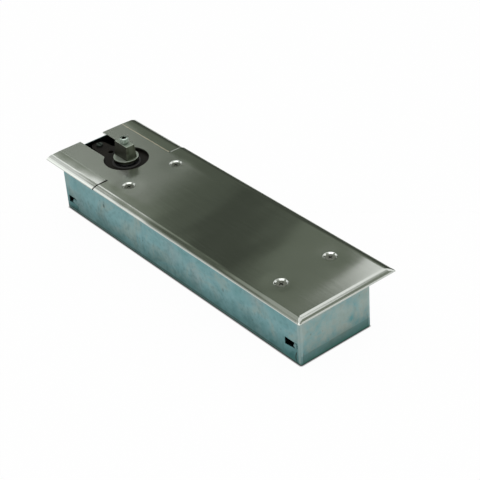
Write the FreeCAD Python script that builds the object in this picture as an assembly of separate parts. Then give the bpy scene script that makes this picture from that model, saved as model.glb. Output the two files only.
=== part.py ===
"""Floor spring: a door closer that sinks into the floor in its cement box.

Millimetres, +Z up. The origin is where the spindle's axis meets the underside
of the cement box. +X runs along the box, away from the spindle's end, and +Y
is the back of the box.
"""
import FreeCAD, Part
import math
import os

from FreeCAD import Vector, Rotation

os.makedirs("parts", exist_ok=True)

# Cement box, zinc-plated sheet
BOX_SHEET = 1.2
BOX_BEND = 1.6
BOX_BAND_HEIGHT = 9.5
BOX_BAND_DEPTH = 0.5
SIDE_ROOM = 3.3
NOSE_ROOM = 0.3
FAR_ROOM = 10.8
ANCHOR_INSET = 12.0
ANCHOR_WIDTH = 14.6
ANCHOR_DEPTH = 1.8
ANCHOR_FOOT = 2.8
ANCHOR_SLOT_HEIGHT = 7.4
ANCHOR_NEAR_TOP = 16.0
ANCHOR_NEAR_ARC = 5.0
ANCHOR_FAR_TOP = 20.8

# Cover plate, stainless sheet
PLATE_SHEET = 1.5
PLATE_GAP = 0.3
NEAR_OVERHANG = 4.0
FAR_OVERHANG = 16.0
SIDE_OVERHANG = 13.5
BORDER_WIDTH = 4.8
BORDER_DROP = 1.6
RIM_EDGE = 1.1
RIDGE_RADIUS = 5.0
KEYHOLE_RADIUS = 21.5
KEYHOLE_SLOT = 26.2
TAB_LENGTH = 77.4
TAB_LINE_INSET = 16.5
TAB_TILT = 2.4
TAB_SLIT = 1.3
SCORE_DEPTH = 0.45
SCORE_WIDTH = 0.7
DISH_RADIUS = 6.0
DISH_FLOOR_RADIUS = 4.75
DISH_DEPTH = 1.0
DISH_SHOULDER = 1.2

# Cover screws, countersunk with a cross recess
COVER_SCREW_NEAR_X = 41.7
COVER_SCREW_FAR_INSET = 7.7
COVER_SCREW_SIDE_INSET = 1.0
COVER_HEAD_RADIUS = 4.4
COVER_HEAD_CONE = 1.9
COVER_SHANK_RADIUS = 2.5
COVER_SCREW_LENGTH = 14.0
COVER_TIP_BEVEL = 0.6
RECESS_ARM = 2.4
RECESS_WIDTH = 1.0
RECESS_DEPTH = 1.5

# Closer housing, black cast iron
STAND_HEIGHT = 3.0
BASE_THICKNESS = 6.75
ROOF_THICKNESS = 5.75
COVER_SPACE = 2.2
CHAMBER_WALL = 4.5
CYLINDER_WALL = 7.95
BARREL_STEP = 2.4
BARREL_ROUNDING = 9.0
CAST_EDGE = 1.2
BOSS_RADIUS = 6.5
BOSS_DEPTH = 18.0
NOSE_REACH = 10.5
NOSE_END_RADIUS = 7.5
NOSE_HALF_WIDTH = 8.0
NOSE_FLARE_START = 4.5
NOSE_FLARE_HALF_WIDTH = 13.2
NOSE_FLARE_SAG = 1.4
NOSE_STEP = 0.8
LUG_THICKNESS = 13.0
EAR_REACH = 8.0
EAR_RADIUS = 7.0
EAR_SIDE_INSET = 1.0
COLUMN_INSET = 2.0
COLUMN_RADIUS = 5.5

# Cylinder, spring seat and force adjuster
BORE_RADIUS = 20.05
BORE_LEAD = 1.5
SPRING_LENGTH = 160.0
SEAT_THICKNESS = 9.0
SEAT_PILOT_LENGTH = 4.0
SEAT_TRAVEL = 12.0
SEAT_RUN_OUT = 5.0
KEY_WIDTH = 5.0
KEY_HEIGHT = 2.2
ADJUSTER_THREAD_RADIUS = 5.0
ADJUSTER_COLLAR_RADIUS = 9.0
ADJUSTER_COLLAR_THICKNESS = 4.0
ADJUSTER_NECK_RADIUS = 6.0
ADJUSTER_STICK_OUT = 4.0
ADJUSTER_SOCKET_ACROSS_FLATS = 6.0
ADJUSTER_SOCKET_DEPTH = 6.0

# Spindle
SHAFT_RADIUS = 10.0
SHAFT_ABOVE_PLATE = 0.3
LOWER_JOURNAL_RADIUS = 8.0
SHAFT_BEVEL = 0.5
SHOULDER_RADIUS = 12.0
SHOULDER_THICKNESS = 0.8
HEX_ACROSS_FLATS = 17.0
SOCKET_ACROSS_FLATS = 10.4
SOCKET_DEPTH = 12.0
COLLAR_RADIUS = 12.1
COLLAR_THICKNESS = 2.8
COLLAR_EDGE = 0.5
BLOCK_HALF_LENGTH_FOOT = 9.8
BLOCK_HALF_LENGTH_TOP = 9.6
BLOCK_HALF_WIDTH_FOOT = 5.95
BLOCK_HALF_WIDTH_TOP = 4.45
BLOCK_HEIGHT = 14.2
BLOCK_EDGE = 0.5
CAP_HEAD_RADIUS = 4.25
CAP_HEAD_HEIGHT = 5.0
CAP_SHANK_RADIUS = 2.5
CAP_SCREW_LENGTH = 38.0
CAP_SOCKET_ACROSS_FLATS = 4.0
CAP_SOCKET_DEPTH = 2.5
CIRCLIP_THICKNESS = 1.2
CIRCLIP_GROOVE_DEPTH = 0.8
CIRCLIP_WIDTH = 3.0
CIRCLIP_EAR_RADIUS = 1.8
CIRCLIP_GAP = 2.8

# Heart cam and roller
NOTCH_RADIUS = 18.0
ROLLER_RADIUS = 9.0
CAM_THICKNESS = 13.0
LIFT_PER_DEGREE = 0.085
SPINDLE_TRAVEL = 130.0
CAM_RUN_ON = 5.0
CAM_ROOM = 0.525
CAM_HEADROOM = 1.1
MESH_CLEARANCE = 0.05
PIN_RADIUS = 4.0
PIN_SINK = 3.0
ROLLER_BEVEL = 0.5
ROLLER_SIDE_ROOM = 0.2

# Piston
PISTON_CLEARANCE = 0.06
FORK_REACH = 6.5
FORK_HALF_WIDTH = 12.0
FORK_SHOULDER = 3.0
FORK_ROOM = 1.0
FORK_SIDE_ROOM = 0.3
HEAD_LENGTH = 25.0
PILOT_LENGTH = 6.0
RING_PLACE = 11.0
RING_WIDTH = 3.0
RING_DEPTH = 2.4
RING_GAP = 0.6
CHECK_HOLE_RADIUS = 2.2
CHECK_BALL_RADIUS = 3.5
CHECK_CHAMBER_RADIUS = 4.0
CHECK_CHAMBER_DEPTH = 10.0
RETAINER_THICKNESS = 2.0
RETAINER_HOLE_RADIUS = 1.6

# Closing spring
SPRING_WIRE_RADIUS = 3.0
SPRING_SIDE_ROOM = 1.25
SPRING_PILOT_ROOM = 0.4
SPRING_TURNS = 13
SPRING_END_GAP = 0.6
SPRING_SEATING = 0.1

# End plug and bottom plug
PLUG_SHOULDER = 2.45
PLUG_LENGTH = 26.0
PLUG_GROOVE_PLACE = 8.0
SPANNER_HOLE_RADIUS = 2.0
SPANNER_HOLE_DEPTH = 3.5
SPANNER_HOLE_INSET = 8.5
BOTTOM_PLUG_THICKNESS = 5.8
BOTTOM_SPANNER_INSET = 8.0
BOTTOM_GROOVE_DROP = 3.2
HUB_WALL = 4.0
HUB_ABOVE_BEARING = 1.2
PLUG_FLOOR = 2.8
WASHER_THICKNESS = 1.0
WASHER_HOLE_RADIUS = 3.0
WASHER_ROOM = 0.3

# Needle bearings and shaft seal
NEEDLE_WALL = 3.0
UPPER_BEARING_ABOVE_CHAMBER = 1.4
UPPER_BEARING_LENGTH = 12.0
LOWER_BEARING_LENGTH = 12.0
BEARING_GAP = 0.4
SEAL_WALL = 3.5
SEAL_STAND = 1.2
SEAL_LIP_WIDTH = 1.6
SEAL_LIP_DEPTH = 1.4
SEAL_EDGE = 0.4

# Regulating valves
VALVE_RADIUS = 2.5
VALVE_INSET = 4.0
CLOSING_VALVE_ANGLE = 180.0
LATCHING_VALVE_ANGLE = 252.0
VALVE_SINK = 4.4
VALVE_LENGTH = 9.0
VALVE_NEEDLE = 3.0
ORIFICE_RADIUS = 0.9
NEEDLE_SHOULDER = 0.6
VALVE_GROOVE_DEPTH = 0.9
VALVE_GROOVE_PLACE = 2.0
VALVE_GROOVE_WIDTH = 1.1
VALVE_RING_SECTION = 0.45

# Small fasteners
HOLDING_SHANK_RADIUS = 2.0
HOLDING_HEAD_RADIUS = 3.2
HOLDING_HEAD_HEIGHT = 2.2
HOLDING_HEAD_EDGE = 0.6
HOLDING_TIP_GAP = 0.5
WELD_NUT_ACROSS_FLATS = 10.0
WELD_NUT_HEIGHT = 6.0
LEVELLING_RADIUS = 3.0
LEVELLING_LENGTH = 16.0
LEVELLING_BEVEL = 1.0
LEVELLING_SOCKET_ACROSS_FLATS = 3.0
LEVELLING_SOCKET_DEPTH = 3.0
FILLER_X = 150.0
FILLER_SHANK_RADIUS = 4.0
FILLER_HEAD_RADIUS = 5.5
FILLER_HEAD_HEIGHT = 2.4
FILLER_WASHER_THICKNESS = 0.9
DRIVE_SLOT = 1.0
DRIVE_SLOT_DEPTH = 1.0

# Fits
PRESSED = 0.02
RUNNING = 0.05
THREADED = 0.05
CLEAR_HOLE = 0.3
O_RING_SECTION = 1.0
PAST = 1.0

# Heights, from the floor of the box up
FLOOR = BOX_SHEET
HOUSING_BOTTOM = FLOOR + STAND_HEIGHT
BORE_Z = HOUSING_BOTTOM + BASE_THICKNESS + BORE_RADIUS
HOUSING_TOP = BORE_Z + BORE_RADIUS + ROOF_THICKNESS
BARREL_TOP = HOUSING_TOP - BARREL_STEP
NOSE_TOP = HOUSING_TOP - NOSE_STEP
PLATE_UNDER = HOUSING_TOP + COVER_SPACE
PLATE_TOP = PLATE_UNDER + PLATE_SHEET
BOX_HEIGHT = PLATE_UNDER - PLATE_GAP
DISH_FLOOR = PLATE_TOP - DISH_DEPTH
BOSS_TOP = PLATE_UNDER - DISH_DEPTH
CAM_BOTTOM = BORE_Z - CAM_THICKNESS / 2
CAM_TOP = BORE_Z + CAM_THICKNESS / 2
CHAMBER_TOP = CAM_TOP + CAM_HEADROOM
UPPER_BEARING_BOTTOM = CHAMBER_TOP + UPPER_BEARING_ABOVE_CHAMBER
UPPER_BEARING_TOP = UPPER_BEARING_BOTTOM + UPPER_BEARING_LENGTH
SEAL_BOTTOM = UPPER_BEARING_TOP + BEARING_GAP
SEAL_TOP = HOUSING_TOP + SEAL_STAND
WASHER_BOTTOM = HOUSING_BOTTOM + PLUG_FLOOR
SHAFT_FOOT = WASHER_BOTTOM + WASHER_THICKNESS
LOWER_BEARING_BOTTOM = SHAFT_FOOT + BEARING_GAP
LOWER_BEARING_TOP = LOWER_BEARING_BOTTOM + LOWER_BEARING_LENGTH
HUB_TOP = LOWER_BEARING_TOP + HUB_ABOVE_BEARING
SHAFT_TOP = PLATE_TOP + SHAFT_ABOVE_PLATE
COLLAR_TOP = SHAFT_TOP + COLLAR_THICKNESS
BLOCK_TOP = COLLAR_TOP + BLOCK_HEIGHT
VALVE_HEAD_Z = HOUSING_TOP - VALVE_SINK
VALVE_FOOT_Z = VALVE_HEAD_Z - VALVE_LENGTH
VALVE_FLOOR_Z = VALVE_FOOT_Z - VALVE_NEEDLE

# Radii and half widths, from the mechanism outwards
CHAMBER_RADIUS = NOTCH_RADIUS + LIFT_PER_DEGREE * (SPINDLE_TRAVEL + CAM_RUN_ON) + CAM_ROOM
ROUND_RADIUS = CHAMBER_RADIUS + CHAMBER_WALL
VALVE_DISTANCE = CHAMBER_RADIUS - VALVE_INSET
BARREL_HALF_WIDTH = BORE_RADIUS + CYLINDER_WALL
BOX_HALF_WIDTH = ROUND_RADIUS + SIDE_ROOM + BOX_SHEET
PLATE_HALF_WIDTH = BOX_HALF_WIDTH + SIDE_OVERHANG
TAB_LINE_Y = PLATE_HALF_WIDTH - TAB_LINE_INSET
COVER_SCREW_Y = BARREL_HALF_WIDTH - COVER_SCREW_SIDE_INSET
EAR_Y = BARREL_HALF_WIDTH - EAR_SIDE_INSET
COLUMN_Y = BARREL_HALF_WIDTH + COLUMN_INSET
PISTON_RADIUS = BORE_RADIUS - PISTON_CLEARANCE
SPRING_MEAN_RADIUS = BORE_RADIUS - SPRING_SIDE_ROOM - SPRING_WIRE_RADIUS
PILOT_RADIUS = SPRING_MEAN_RADIUS - SPRING_WIRE_RADIUS - SPRING_PILOT_ROOM
PLUG_RADIUS = BORE_RADIUS + PLUG_SHOULDER
UPPER_BEARING_RADIUS = SHAFT_RADIUS + NEEDLE_WALL
LOWER_BEARING_RADIUS = LOWER_JOURNAL_RADIUS + NEEDLE_WALL
HUB_RADIUS = LOWER_BEARING_RADIUS + HUB_WALL
SEAL_RADIUS = SHAFT_RADIUS + SEAL_WALL
CIRCLIP_INNER = LOWER_JOURNAL_RADIUS - CIRCLIP_GROOVE_DEPTH
CIRCLIP_OUTER = LOWER_JOURNAL_RADIUS + CIRCLIP_WIDTH

# Places along the box, from the spindle's axis out
ROLLER_X = NOTCH_RADIUS + ROLLER_RADIUS
FORK_START = ROLLER_X - FORK_REACH
FORK_ROOT = ROLLER_X + ROLLER_RADIUS + FORK_ROOM
PISTON_BACK = FORK_ROOT + HEAD_LENGTH
RING_START = FORK_ROOT + RING_PLACE
CHECK_SEAT_X = PISTON_BACK + PILOT_LENGTH - CHECK_CHAMBER_DEPTH
SEAT_FACE_X = PISTON_BACK + SPRING_LENGTH
BORE_START = FORK_START - BORE_LEAD
BORE_END = SEAT_FACE_X + SEAT_THICKNESS + SEAT_RUN_OUT
ADJUSTER_COLLAR_START = BORE_END + PAST
ADJUSTER_COLLAR_END = ADJUSTER_COLLAR_START + ADJUSTER_COLLAR_THICKNESS
BARREL_END = BORE_END + PLUG_LENGTH
ADJUSTER_BACK = BARREL_END + ADJUSTER_STICK_OUT
NECK_GROOVE_X = (ADJUSTER_COLLAR_END + BARREL_END) / 2
PLUG_GROOVE_X = BORE_END + PLUG_GROOVE_PLACE
EAR_X = BARREL_END + EAR_REACH
NOSE_X = -ROUND_RADIUS - NOSE_REACH
BOX_START = NOSE_X - NOSE_END_RADIUS - NOSE_ROOM - BOX_SHEET
BOX_END = EAR_X + EAR_RADIUS + FAR_ROOM + BOX_SHEET
PLATE_START = BOX_START - NEAR_OVERHANG
PLATE_END = BOX_END + FAR_OVERHANG
TAB_END = PLATE_START + TAB_LENGTH
COVER_SCREW_X = (COVER_SCREW_NEAR_X, BARREL_END - COVER_SCREW_FAR_INSET)
COLUMN_X = (PISTON_BACK, BORE_END - COLUMN_INSET)


def save(shape, node):
    """Write one node, and say its volume and whether it is sound."""
    shape.exportStep("parts/" + node + ".step")
    print(node, "solids", len(shape.Solids), "volume", round(shape.Volume, 1), shape.isValid())


def block(x0, x1, y0, y1, z0, z1):
    return Part.makeBox(x1 - x0, y1 - y0, z1 - z0, Vector(x0, y0, z0))


def post(radius, z0, z1, x=0.0, y=0.0):
    """An upright cylinder."""
    return Part.makeCylinder(radius, z1 - z0, Vector(x, y, z0))


def rod(radius, x0, x1, y=0.0):
    """A cylinder that lies along X at the height of the bore."""
    return Part.makeCylinder(radius, x1 - x0, Vector(x0, y, BORE_Z), Vector(1, 0, 0))


def tube(outer, inner, z0, z1, x=0.0, y=0.0):
    return post(outer, z0, z1, x, y).cut(post(inner, z0 - PAST, z1 + PAST, x, y))


def rod_tube(outer, inner, x0, x1):
    return rod(outer, x0, x1).cut(rod(inner, x0 - PAST, x1 + PAST))


def flat_ring(outer_radius, section_radius, z, x=0.0, y=0.0):
    """An O-ring that lies flat, by its outer radius."""
    return Part.makeTorus(outer_radius - section_radius, section_radius, Vector(x, y, z), Vector(0, 0, 1))


def rod_ring(outer_radius, section_radius, x):
    """An O-ring round the axis of the bore, by its outer radius."""
    centre = Vector(x, 0, BORE_Z)
    return Part.makeTorus(outer_radius - section_radius, section_radius, centre, Vector(1, 0, 0))


def turned(profile, x=0.0, y=0.0):
    """Revolve (radius, z) points about an upright axis."""
    points = [Vector(x + r, y, z) for r, z in profile]
    face = Part.Face(Part.makePolygon(points + points[:1]))
    return face.revolve(Vector(x, y, 0), Vector(0, 0, 1), 360)


def hexagon(across_flats, z0, z1, x=0.0, y=0.0):
    """An upright hexagonal prism."""
    corner = across_flats / math.sqrt(3)
    points = []
    for i in range(6):
        angle = math.radians(60 * i + 30)
        points.append(Vector(x + corner * math.cos(angle), y + corner * math.sin(angle), z0))
    return Part.Face(Part.makePolygon(points + points[:1])).extrude(Vector(0, 0, z1 - z0))


def rod_hexagon(across_flats, x0, x1):
    """A hexagonal prism that lies along X."""
    prism = hexagon(across_flats, 0, x1 - x0)
    prism.Placement = FreeCAD.Placement(Vector(x0, 0, BORE_Z), Rotation(Vector(0, 1, 0), 90))
    return prism


def union(shapes):
    return shapes[0].multiFuse(shapes[1:]).removeSplitter()


def slice_x(points, x0, x1):
    """Extrude (y, z) points along X."""
    corners = [Vector(x0, y, z) for y, z in points]
    return Part.Face(Part.makePolygon(corners + corners[:1])).extrude(Vector(x1 - x0, 0, 0))


def slice_y(points, y0, y1):
    """Extrude (x, z) points along Y."""
    corners = [Vector(x, y0, z) for x, z in points]
    return Part.Face(Part.makePolygon(corners + corners[:1])).extrude(Vector(0, y1 - y0, 0))


def side_block(x0, x1, side, near, far, z0, z1):
    """A block on one side of the centre line, between two distances from it."""
    y0, y1 = sorted((side * near, side * far))
    return block(x0, x1, y0, y1, z0, z1)


def level_edges(shape, z):
    """The edges of a shape that lie wholly at one height."""
    return [e for e in shape.Edges if abs(e.BoundBox.ZMin - z) < 1e-6 and abs(e.BoundBox.ZMax - z) < 1e-6]


def upright_edges(shape):
    """The straight upright edges of a shape."""
    return [e for e in shape.Edges if e.BoundBox.XLength < 1e-6 and e.BoundBox.YLength < 1e-6]


def boss_places():
    return [(x, side * COVER_SCREW_Y) for x in COVER_SCREW_X for side in (-1, 1)]


def column_places():
    return [(x, side * COLUMN_Y) for x in COLUMN_X for side in (-1, 1)]


def holding_places():
    """Each holding screw's place, with the height that its head sits on."""
    return [(NOSE_X, 0.0, NOSE_TOP), (EAR_X, -EAR_Y, BARREL_TOP), (EAR_X, EAR_Y, BARREL_TOP)]


def valve_place(angle):
    turn = math.radians(angle)
    return VALVE_DISTANCE * math.cos(turn), VALVE_DISTANCE * math.sin(turn)


def valve_places():
    return [valve_place(CLOSING_VALVE_ANGLE), valve_place(LATCHING_VALVE_ANGLE)]


# Cement box

def tray(x0, x1, half_width, z0, z1, bend):
    """A block with bent lower edges, and a lower band pressed in at both ends."""
    body = block(x0, x1, -half_width, half_width, z0, z1)
    body = body.makeFillet(bend, upright_edges(body))
    body = body.makeFillet(bend, level_edges(body, z0))
    wide = half_width + PAST
    body = body.cut(block(x0 - PAST, x0 + BOX_BAND_DEPTH, -wide, wide, z0 - PAST, BOX_BAND_HEIGHT))
    return body.cut(block(x1 - BOX_BAND_DEPTH, x1 + PAST, -wide, wide, z0 - PAST, BOX_BAND_HEIGHT))


def pressed_wedge(x, side, sill, skin):
    """The hollow that the wall below an anchor slot is pressed into, deepest at its right end."""
    wall = side * BOX_HALF_WIDTH
    outside = wall + side * PAST if skin == 0 else wall - side * BOX_SHEET / 2
    left = x - ANCHOR_WIDTH / 2 - skin
    right = x + ANCHOR_WIDTH / 2 + skin
    shallow = wall - side * skin
    deep = wall - side * (ANCHOR_DEPTH + skin)
    foot = ANCHOR_FOOT - skin
    leaning = slice_x([(outside, foot), (shallow, foot), (deep, sill), (outside, sill)], left, right)
    plan = [Vector(left, outside, foot), Vector(left, shallow, foot), Vector(right, deep, foot),
            Vector(right, outside, foot)]
    return leaning.common(Part.Face(Part.makePolygon(plan + plan[:1])).extrude(Vector(0, 0, sill - foot)))


def with_anchor(box, x, side, top, arc):
    """Shear a slot in a side wall and press the wall below it inwards."""
    sill = top - ANCHOR_SLOT_HEIGHT
    right = x + ANCHOR_WIDTH / 2
    slot = side_block(x - ANCHOR_WIDTH / 2, right, side, BOX_HALF_WIDTH + PAST,
                      BOX_HALF_WIDTH - ANCHOR_DEPTH - BOX_SHEET - PAST, sill, top)
    if arc > 0:
        corner = [e for e in level_edges(slot, top) if abs(e.BoundBox.XMin - right) < 1e-6]
        slot = slot.makeFillet(arc, corner)
    pressed = pressed_wedge(x, side, sill, BOX_SHEET)
    return box.fuse(pressed).cut(pressed_wedge(x, side, sill, 0)).cut(slot)


def cement_box():
    outer = tray(BOX_START, BOX_END, BOX_HALF_WIDTH, 0, BOX_HEIGHT, BOX_BEND)
    inner = tray(BOX_START + BOX_SHEET, BOX_END - BOX_SHEET, BOX_HALF_WIDTH - BOX_SHEET, FLOOR,
                 BOX_HEIGHT + PAST, BOX_BEND - BOX_SHEET)
    box = outer.cut(inner)
    for side in (-1, 1):
        box = with_anchor(box, BOX_START + ANCHOR_INSET, side, ANCHOR_NEAR_TOP, ANCHOR_NEAR_ARC)
        box = with_anchor(box, BOX_END - ANCHOR_INSET, side, ANCHOR_FAR_TOP, 0)
    return box


# Cover plate

def hipped(half_width, x0, x1, border, edge_z, flat_z):
    """A slab whose two long sides and far end slope down from a flat top."""
    low = HOUSING_BOTTOM
    across = [(-half_width, low), (-half_width, edge_z), (-half_width + border, flat_z),
              (half_width - border, flat_z), (half_width, edge_z), (half_width, low)]
    along = [(x0, low), (x0, flat_z), (x1 - border, flat_z), (x1, edge_z), (x1, low)]
    return slice_x(across, x0, x1).common(slice_y(along, -half_width, half_width))


def ridge_edges(slab):
    """The ridges between the flat top and its border, and the two mitres."""
    found = [e for e in level_edges(slab, PLATE_TOP) if e.BoundBox.XMax > PLATE_START + PAST]
    for edge in slab.Edges:
        reach = edge.BoundBox
        if reach.ZMax > PLATE_TOP - 1e-6 and min(reach.XLength, reach.YLength, reach.ZLength) > 0.1:
            found.append(edge)
    return found


def head_space(x, y, extra):
    """The space of a countersunk head, with clearance round it."""
    return Part.makeCone(COVER_SHANK_RADIUS + extra, COVER_HEAD_RADIUS + extra, COVER_HEAD_CONE,
                         Vector(x, y, DISH_FLOOR - COVER_HEAD_CONE))


def dished(plate, x, y):
    """Press a dish for a screw head, with a rounded shoulder, and pierce it."""
    skin = PLATE_SHEET / 2
    under = [(0, BOSS_TOP), (DISH_FLOOR_RADIUS + skin, BOSS_TOP), (DISH_RADIUS + skin, PLATE_UNDER),
             (DISH_RADIUS + skin, PLATE_UNDER + skin), (0, PLATE_UNDER + skin)]
    over = [(0, DISH_FLOOR), (DISH_FLOOR_RADIUS, DISH_FLOOR), (DISH_RADIUS, PLATE_TOP),
            (DISH_RADIUS, PLATE_TOP + PAST), (0, PLATE_TOP + PAST)]
    hole = post(COVER_SHANK_RADIUS + CLEAR_HOLE, BOSS_TOP - PAST, PLATE_TOP, x, y)
    plate = plate.fuse(turned(under, x, y)).cut(turned(over, x, y))
    rim = [e for e in level_edges(plate, PLATE_TOP)
           if abs(e.BoundBox.XLength - 2 * DISH_RADIUS) < 1e-3 and abs(e.BoundBox.Center.x - x) < PAST
           and abs(e.BoundBox.Center.y - y) < PAST]
    plate = plate.makeFillet(DISH_SHOULDER, rim)
    return plate.cut(head_space(x, y, RUNNING)).cut(hole)


def with_break_off_tab(plate, side):
    """Slit one side at the tab's end, score its inner line and bend it down a little."""
    beyond = PLATE_HALF_WIDTH + PAST
    above = PLATE_TOP + PAST
    slit = side_block(TAB_END, TAB_END + TAB_SLIT, side, TAB_LINE_Y - SCORE_WIDTH, beyond, 0, above)
    plate = plate.cut(slit)
    line = side * TAB_LINE_Y
    groove = [(line - SCORE_WIDTH / 2, PLATE_TOP), (line, PLATE_TOP - SCORE_DEPTH),
              (line + SCORE_WIDTH / 2, PLATE_TOP), (line, PLATE_TOP + SCORE_DEPTH)]
    plate = plate.cut(slice_x(groove, PLATE_START - PAST, TAB_END))
    region = side_block(PLATE_START - PAST, TAB_END, side, TAB_LINE_Y, beyond, 0, above)
    tab = plate.common(region)
    tab.rotate(Vector(0, line, PLATE_TOP), Vector(1, 0, 0), -side * TAB_TILT)
    return plate.cut(region).fuse(tab)


def cover_plate():
    edge_z = PLATE_TOP - BORDER_DROP
    slab = hipped(PLATE_HALF_WIDTH, PLATE_START, PLATE_END, BORDER_WIDTH, edge_z, PLATE_TOP)
    slab = slab.makeFillet(RIDGE_RADIUS, ridge_edges(slab))
    slope = BORDER_DROP / BORDER_WIDTH
    under_edge_z = edge_z - RIM_EDGE - slope * PAST
    under = hipped(PLATE_HALF_WIDTH + PAST, PLATE_START - PAST, PLATE_END + PAST,
                   (PLATE_UNDER - under_edge_z) / slope, under_edge_z, PLATE_UNDER)
    plate = slab.cut(under)
    plate = plate.cut(post(KEYHOLE_RADIUS, PLATE_UNDER - PAST, PLATE_TOP + PAST))
    half = KEYHOLE_SLOT / 2
    plate = plate.cut(block(PLATE_START - PAST, 0, -half, half, PLATE_UNDER - PAST, PLATE_TOP + PAST))
    for x, y in boss_places():
        plate = dished(plate, x, y)
    for side in (-1, 1):
        plate = with_break_off_tab(plate, side)
    return plate


def cross_recess(x, y, top):
    """A cross recess that narrows as it goes down."""
    floor = top - RECESS_DEPTH
    half = RECESS_WIDTH / 2
    along = block(x - RECESS_ARM, x + RECESS_ARM, y - half, y + half, floor, top + PAST)
    across = block(x - half, x + half, y - RECESS_ARM, y + RECESS_ARM, floor, top + PAST)
    wide = RECESS_ARM * (1 + PAST / RECESS_DEPTH)
    taper = Part.makeCone(half, wide, RECESS_DEPTH + PAST, Vector(x, y, floor))
    return union([along, across]).common(taper)


def cover_screw(x, y):
    r = COVER_SHANK_RADIUS
    tip = DISH_FLOOR - COVER_SCREW_LENGTH
    shape = turned([(0, DISH_FLOOR), (COVER_HEAD_RADIUS, DISH_FLOOR), (r, DISH_FLOOR - COVER_HEAD_CONE),
                    (r, tip + COVER_TIP_BEVEL), (r - COVER_TIP_BEVEL, tip), (0, tip)], x, y)
    return shape.cut(cross_recess(x, y, DISH_FLOOR))


# Closer housing

def rounded_barrel():
    """The long body round the cylinder, with its four long edges rounded."""
    w = BARREL_HALF_WIDTH
    body = block(0, BARREL_END, -w, w, HOUSING_BOTTOM, BARREL_TOP)
    return body.makeFillet(BARREL_ROUNDING, [e for e in body.Edges if e.BoundBox.XLength > PAST])


def nose():
    """The lug at the spindle's end, which flares in two hollow arcs into the round body."""
    low = NOSE_TOP - LUG_THICKNESS
    flare_x = -ROUND_RADIUS - NOSE_FLARE_START
    join_y = NOSE_FLARE_HALF_WIDTH
    join_x = -math.sqrt(ROUND_RADIUS ** 2 - join_y ** 2)

    def outline(side):
        root = Vector(NOSE_X, side * NOSE_END_RADIUS, low)
        start = Vector(flare_x, side * NOSE_HALF_WIDTH, low)
        end = Vector(join_x, side * join_y, low)
        chord = end - start
        sag = Vector(chord.y, -chord.x, 0) * side
        middle = (start + end) * 0.5 + sag.normalize() * NOSE_FLARE_SAG
        return [Part.makeLine(root, start), Part.Arc(start, middle, end).toShape()]

    front, back = outline(-1), outline(1)
    root_line = Part.makeLine(Vector(NOSE_X, -NOSE_END_RADIUS, low), Vector(NOSE_X, NOSE_END_RADIUS, low))
    join_line = Part.makeLine(Vector(join_x, -join_y, low), Vector(join_x, join_y, low))
    edges = Part.__sortEdges__(front + back + [root_line, join_line])
    web = Part.Face(Part.Wire(edges)).extrude(Vector(0, 0, LUG_THICKNESS))
    return union([post(NOSE_END_RADIUS, low, NOSE_TOP, NOSE_X), web])


def ear(side):
    """A lug at the far end, beside the end plug."""
    low = BARREL_TOP - LUG_THICKNESS
    lug = post(EAR_RADIUS, low, BARREL_TOP, EAR_X, side * EAR_Y)
    web = side_block(BARREL_END - BOSS_RADIUS, EAR_X, side, EAR_Y - EAR_RADIUS, EAR_Y + EAR_RADIUS,
                     low, BARREL_TOP)
    return lug.fuse(web)


def key_groove():
    """The groove low in the cylinder that keeps the spring seat from turning."""
    start = SEAT_FACE_X - SEAT_TRAVEL - SEAT_PILOT_LENGTH
    half = KEY_WIDTH / 2 + RUNNING
    return block(start, BORE_END + PAST, -half, half, BORE_Z - BORE_RADIUS - KEY_HEIGHT - RUNNING, BORE_Z)


def closer_housing():
    drum = post(ROUND_RADIUS, HOUSING_BOTTOM, HOUSING_TOP)
    drum = drum.makeFillet(CAST_EDGE, level_edges(drum, HOUSING_BOTTOM) + level_edges(drum, HOUSING_TOP))
    solids = [drum, rounded_barrel(), nose(), ear(-1), ear(1)]
    solids += [post(BOSS_RADIUS, BOSS_TOP - BOSS_DEPTH, BOSS_TOP, x, y) for x, y in boss_places()]
    column_top = BARREL_TOP - BARREL_STEP
    solids += [post(COLUMN_RADIUS, HOUSING_BOTTOM, column_top, x, y) for x, y in column_places()]
    cuts = [
        post(CHAMBER_RADIUS, HOUSING_BOTTOM - PAST, CHAMBER_TOP),
        rod(BORE_RADIUS, BORE_START, BORE_END + PAST),
        rod(PLUG_RADIUS + THREADED, BORE_END, BARREL_END + PAST),
        post(UPPER_BEARING_RADIUS + PRESSED, CHAMBER_TOP - PAST, UPPER_BEARING_TOP),
        post(SHAFT_RADIUS + PAST, CHAMBER_TOP, HOUSING_TOP + PAST),
        post(SEAL_RADIUS + PRESSED, SEAL_BOTTOM, HOUSING_TOP + PAST),
        post(FILLER_SHANK_RADIUS + THREADED, BORE_Z, BARREL_TOP + PAST, FILLER_X),
        key_groove(),
    ]
    for x, y in boss_places():
        tip = DISH_FLOOR - COVER_SCREW_LENGTH - PAST
        cuts.append(post(COVER_SHANK_RADIUS + THREADED, tip, BOSS_TOP + PAST, x, y))
        cuts.append(head_space(x, y, RUNNING))
    for x, y in column_places():
        cuts.append(post(LEVELLING_RADIUS + THREADED, HOUSING_BOTTOM - PAST, BARREL_TOP, x, y))
    for x, y, seat in holding_places():
        cuts.append(post(HOLDING_SHANK_RADIUS + CLEAR_HOLE, seat - LUG_THICKNESS - PAST, seat + PAST, x, y))
    for x, y in valve_places():
        cuts.append(post(VALVE_RADIUS + THREADED, VALVE_FLOOR_Z, HOUSING_TOP + PAST, x, y))
        cuts.append(post(ORIFICE_RADIUS, CHAMBER_TOP - PAST, VALVE_FLOOR_Z + PAST, x, y))
    body = union(solids)
    for cutter in cuts:
        body = body.cut(cutter)
    return body


# Bottom plug, bearings and seal

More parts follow.
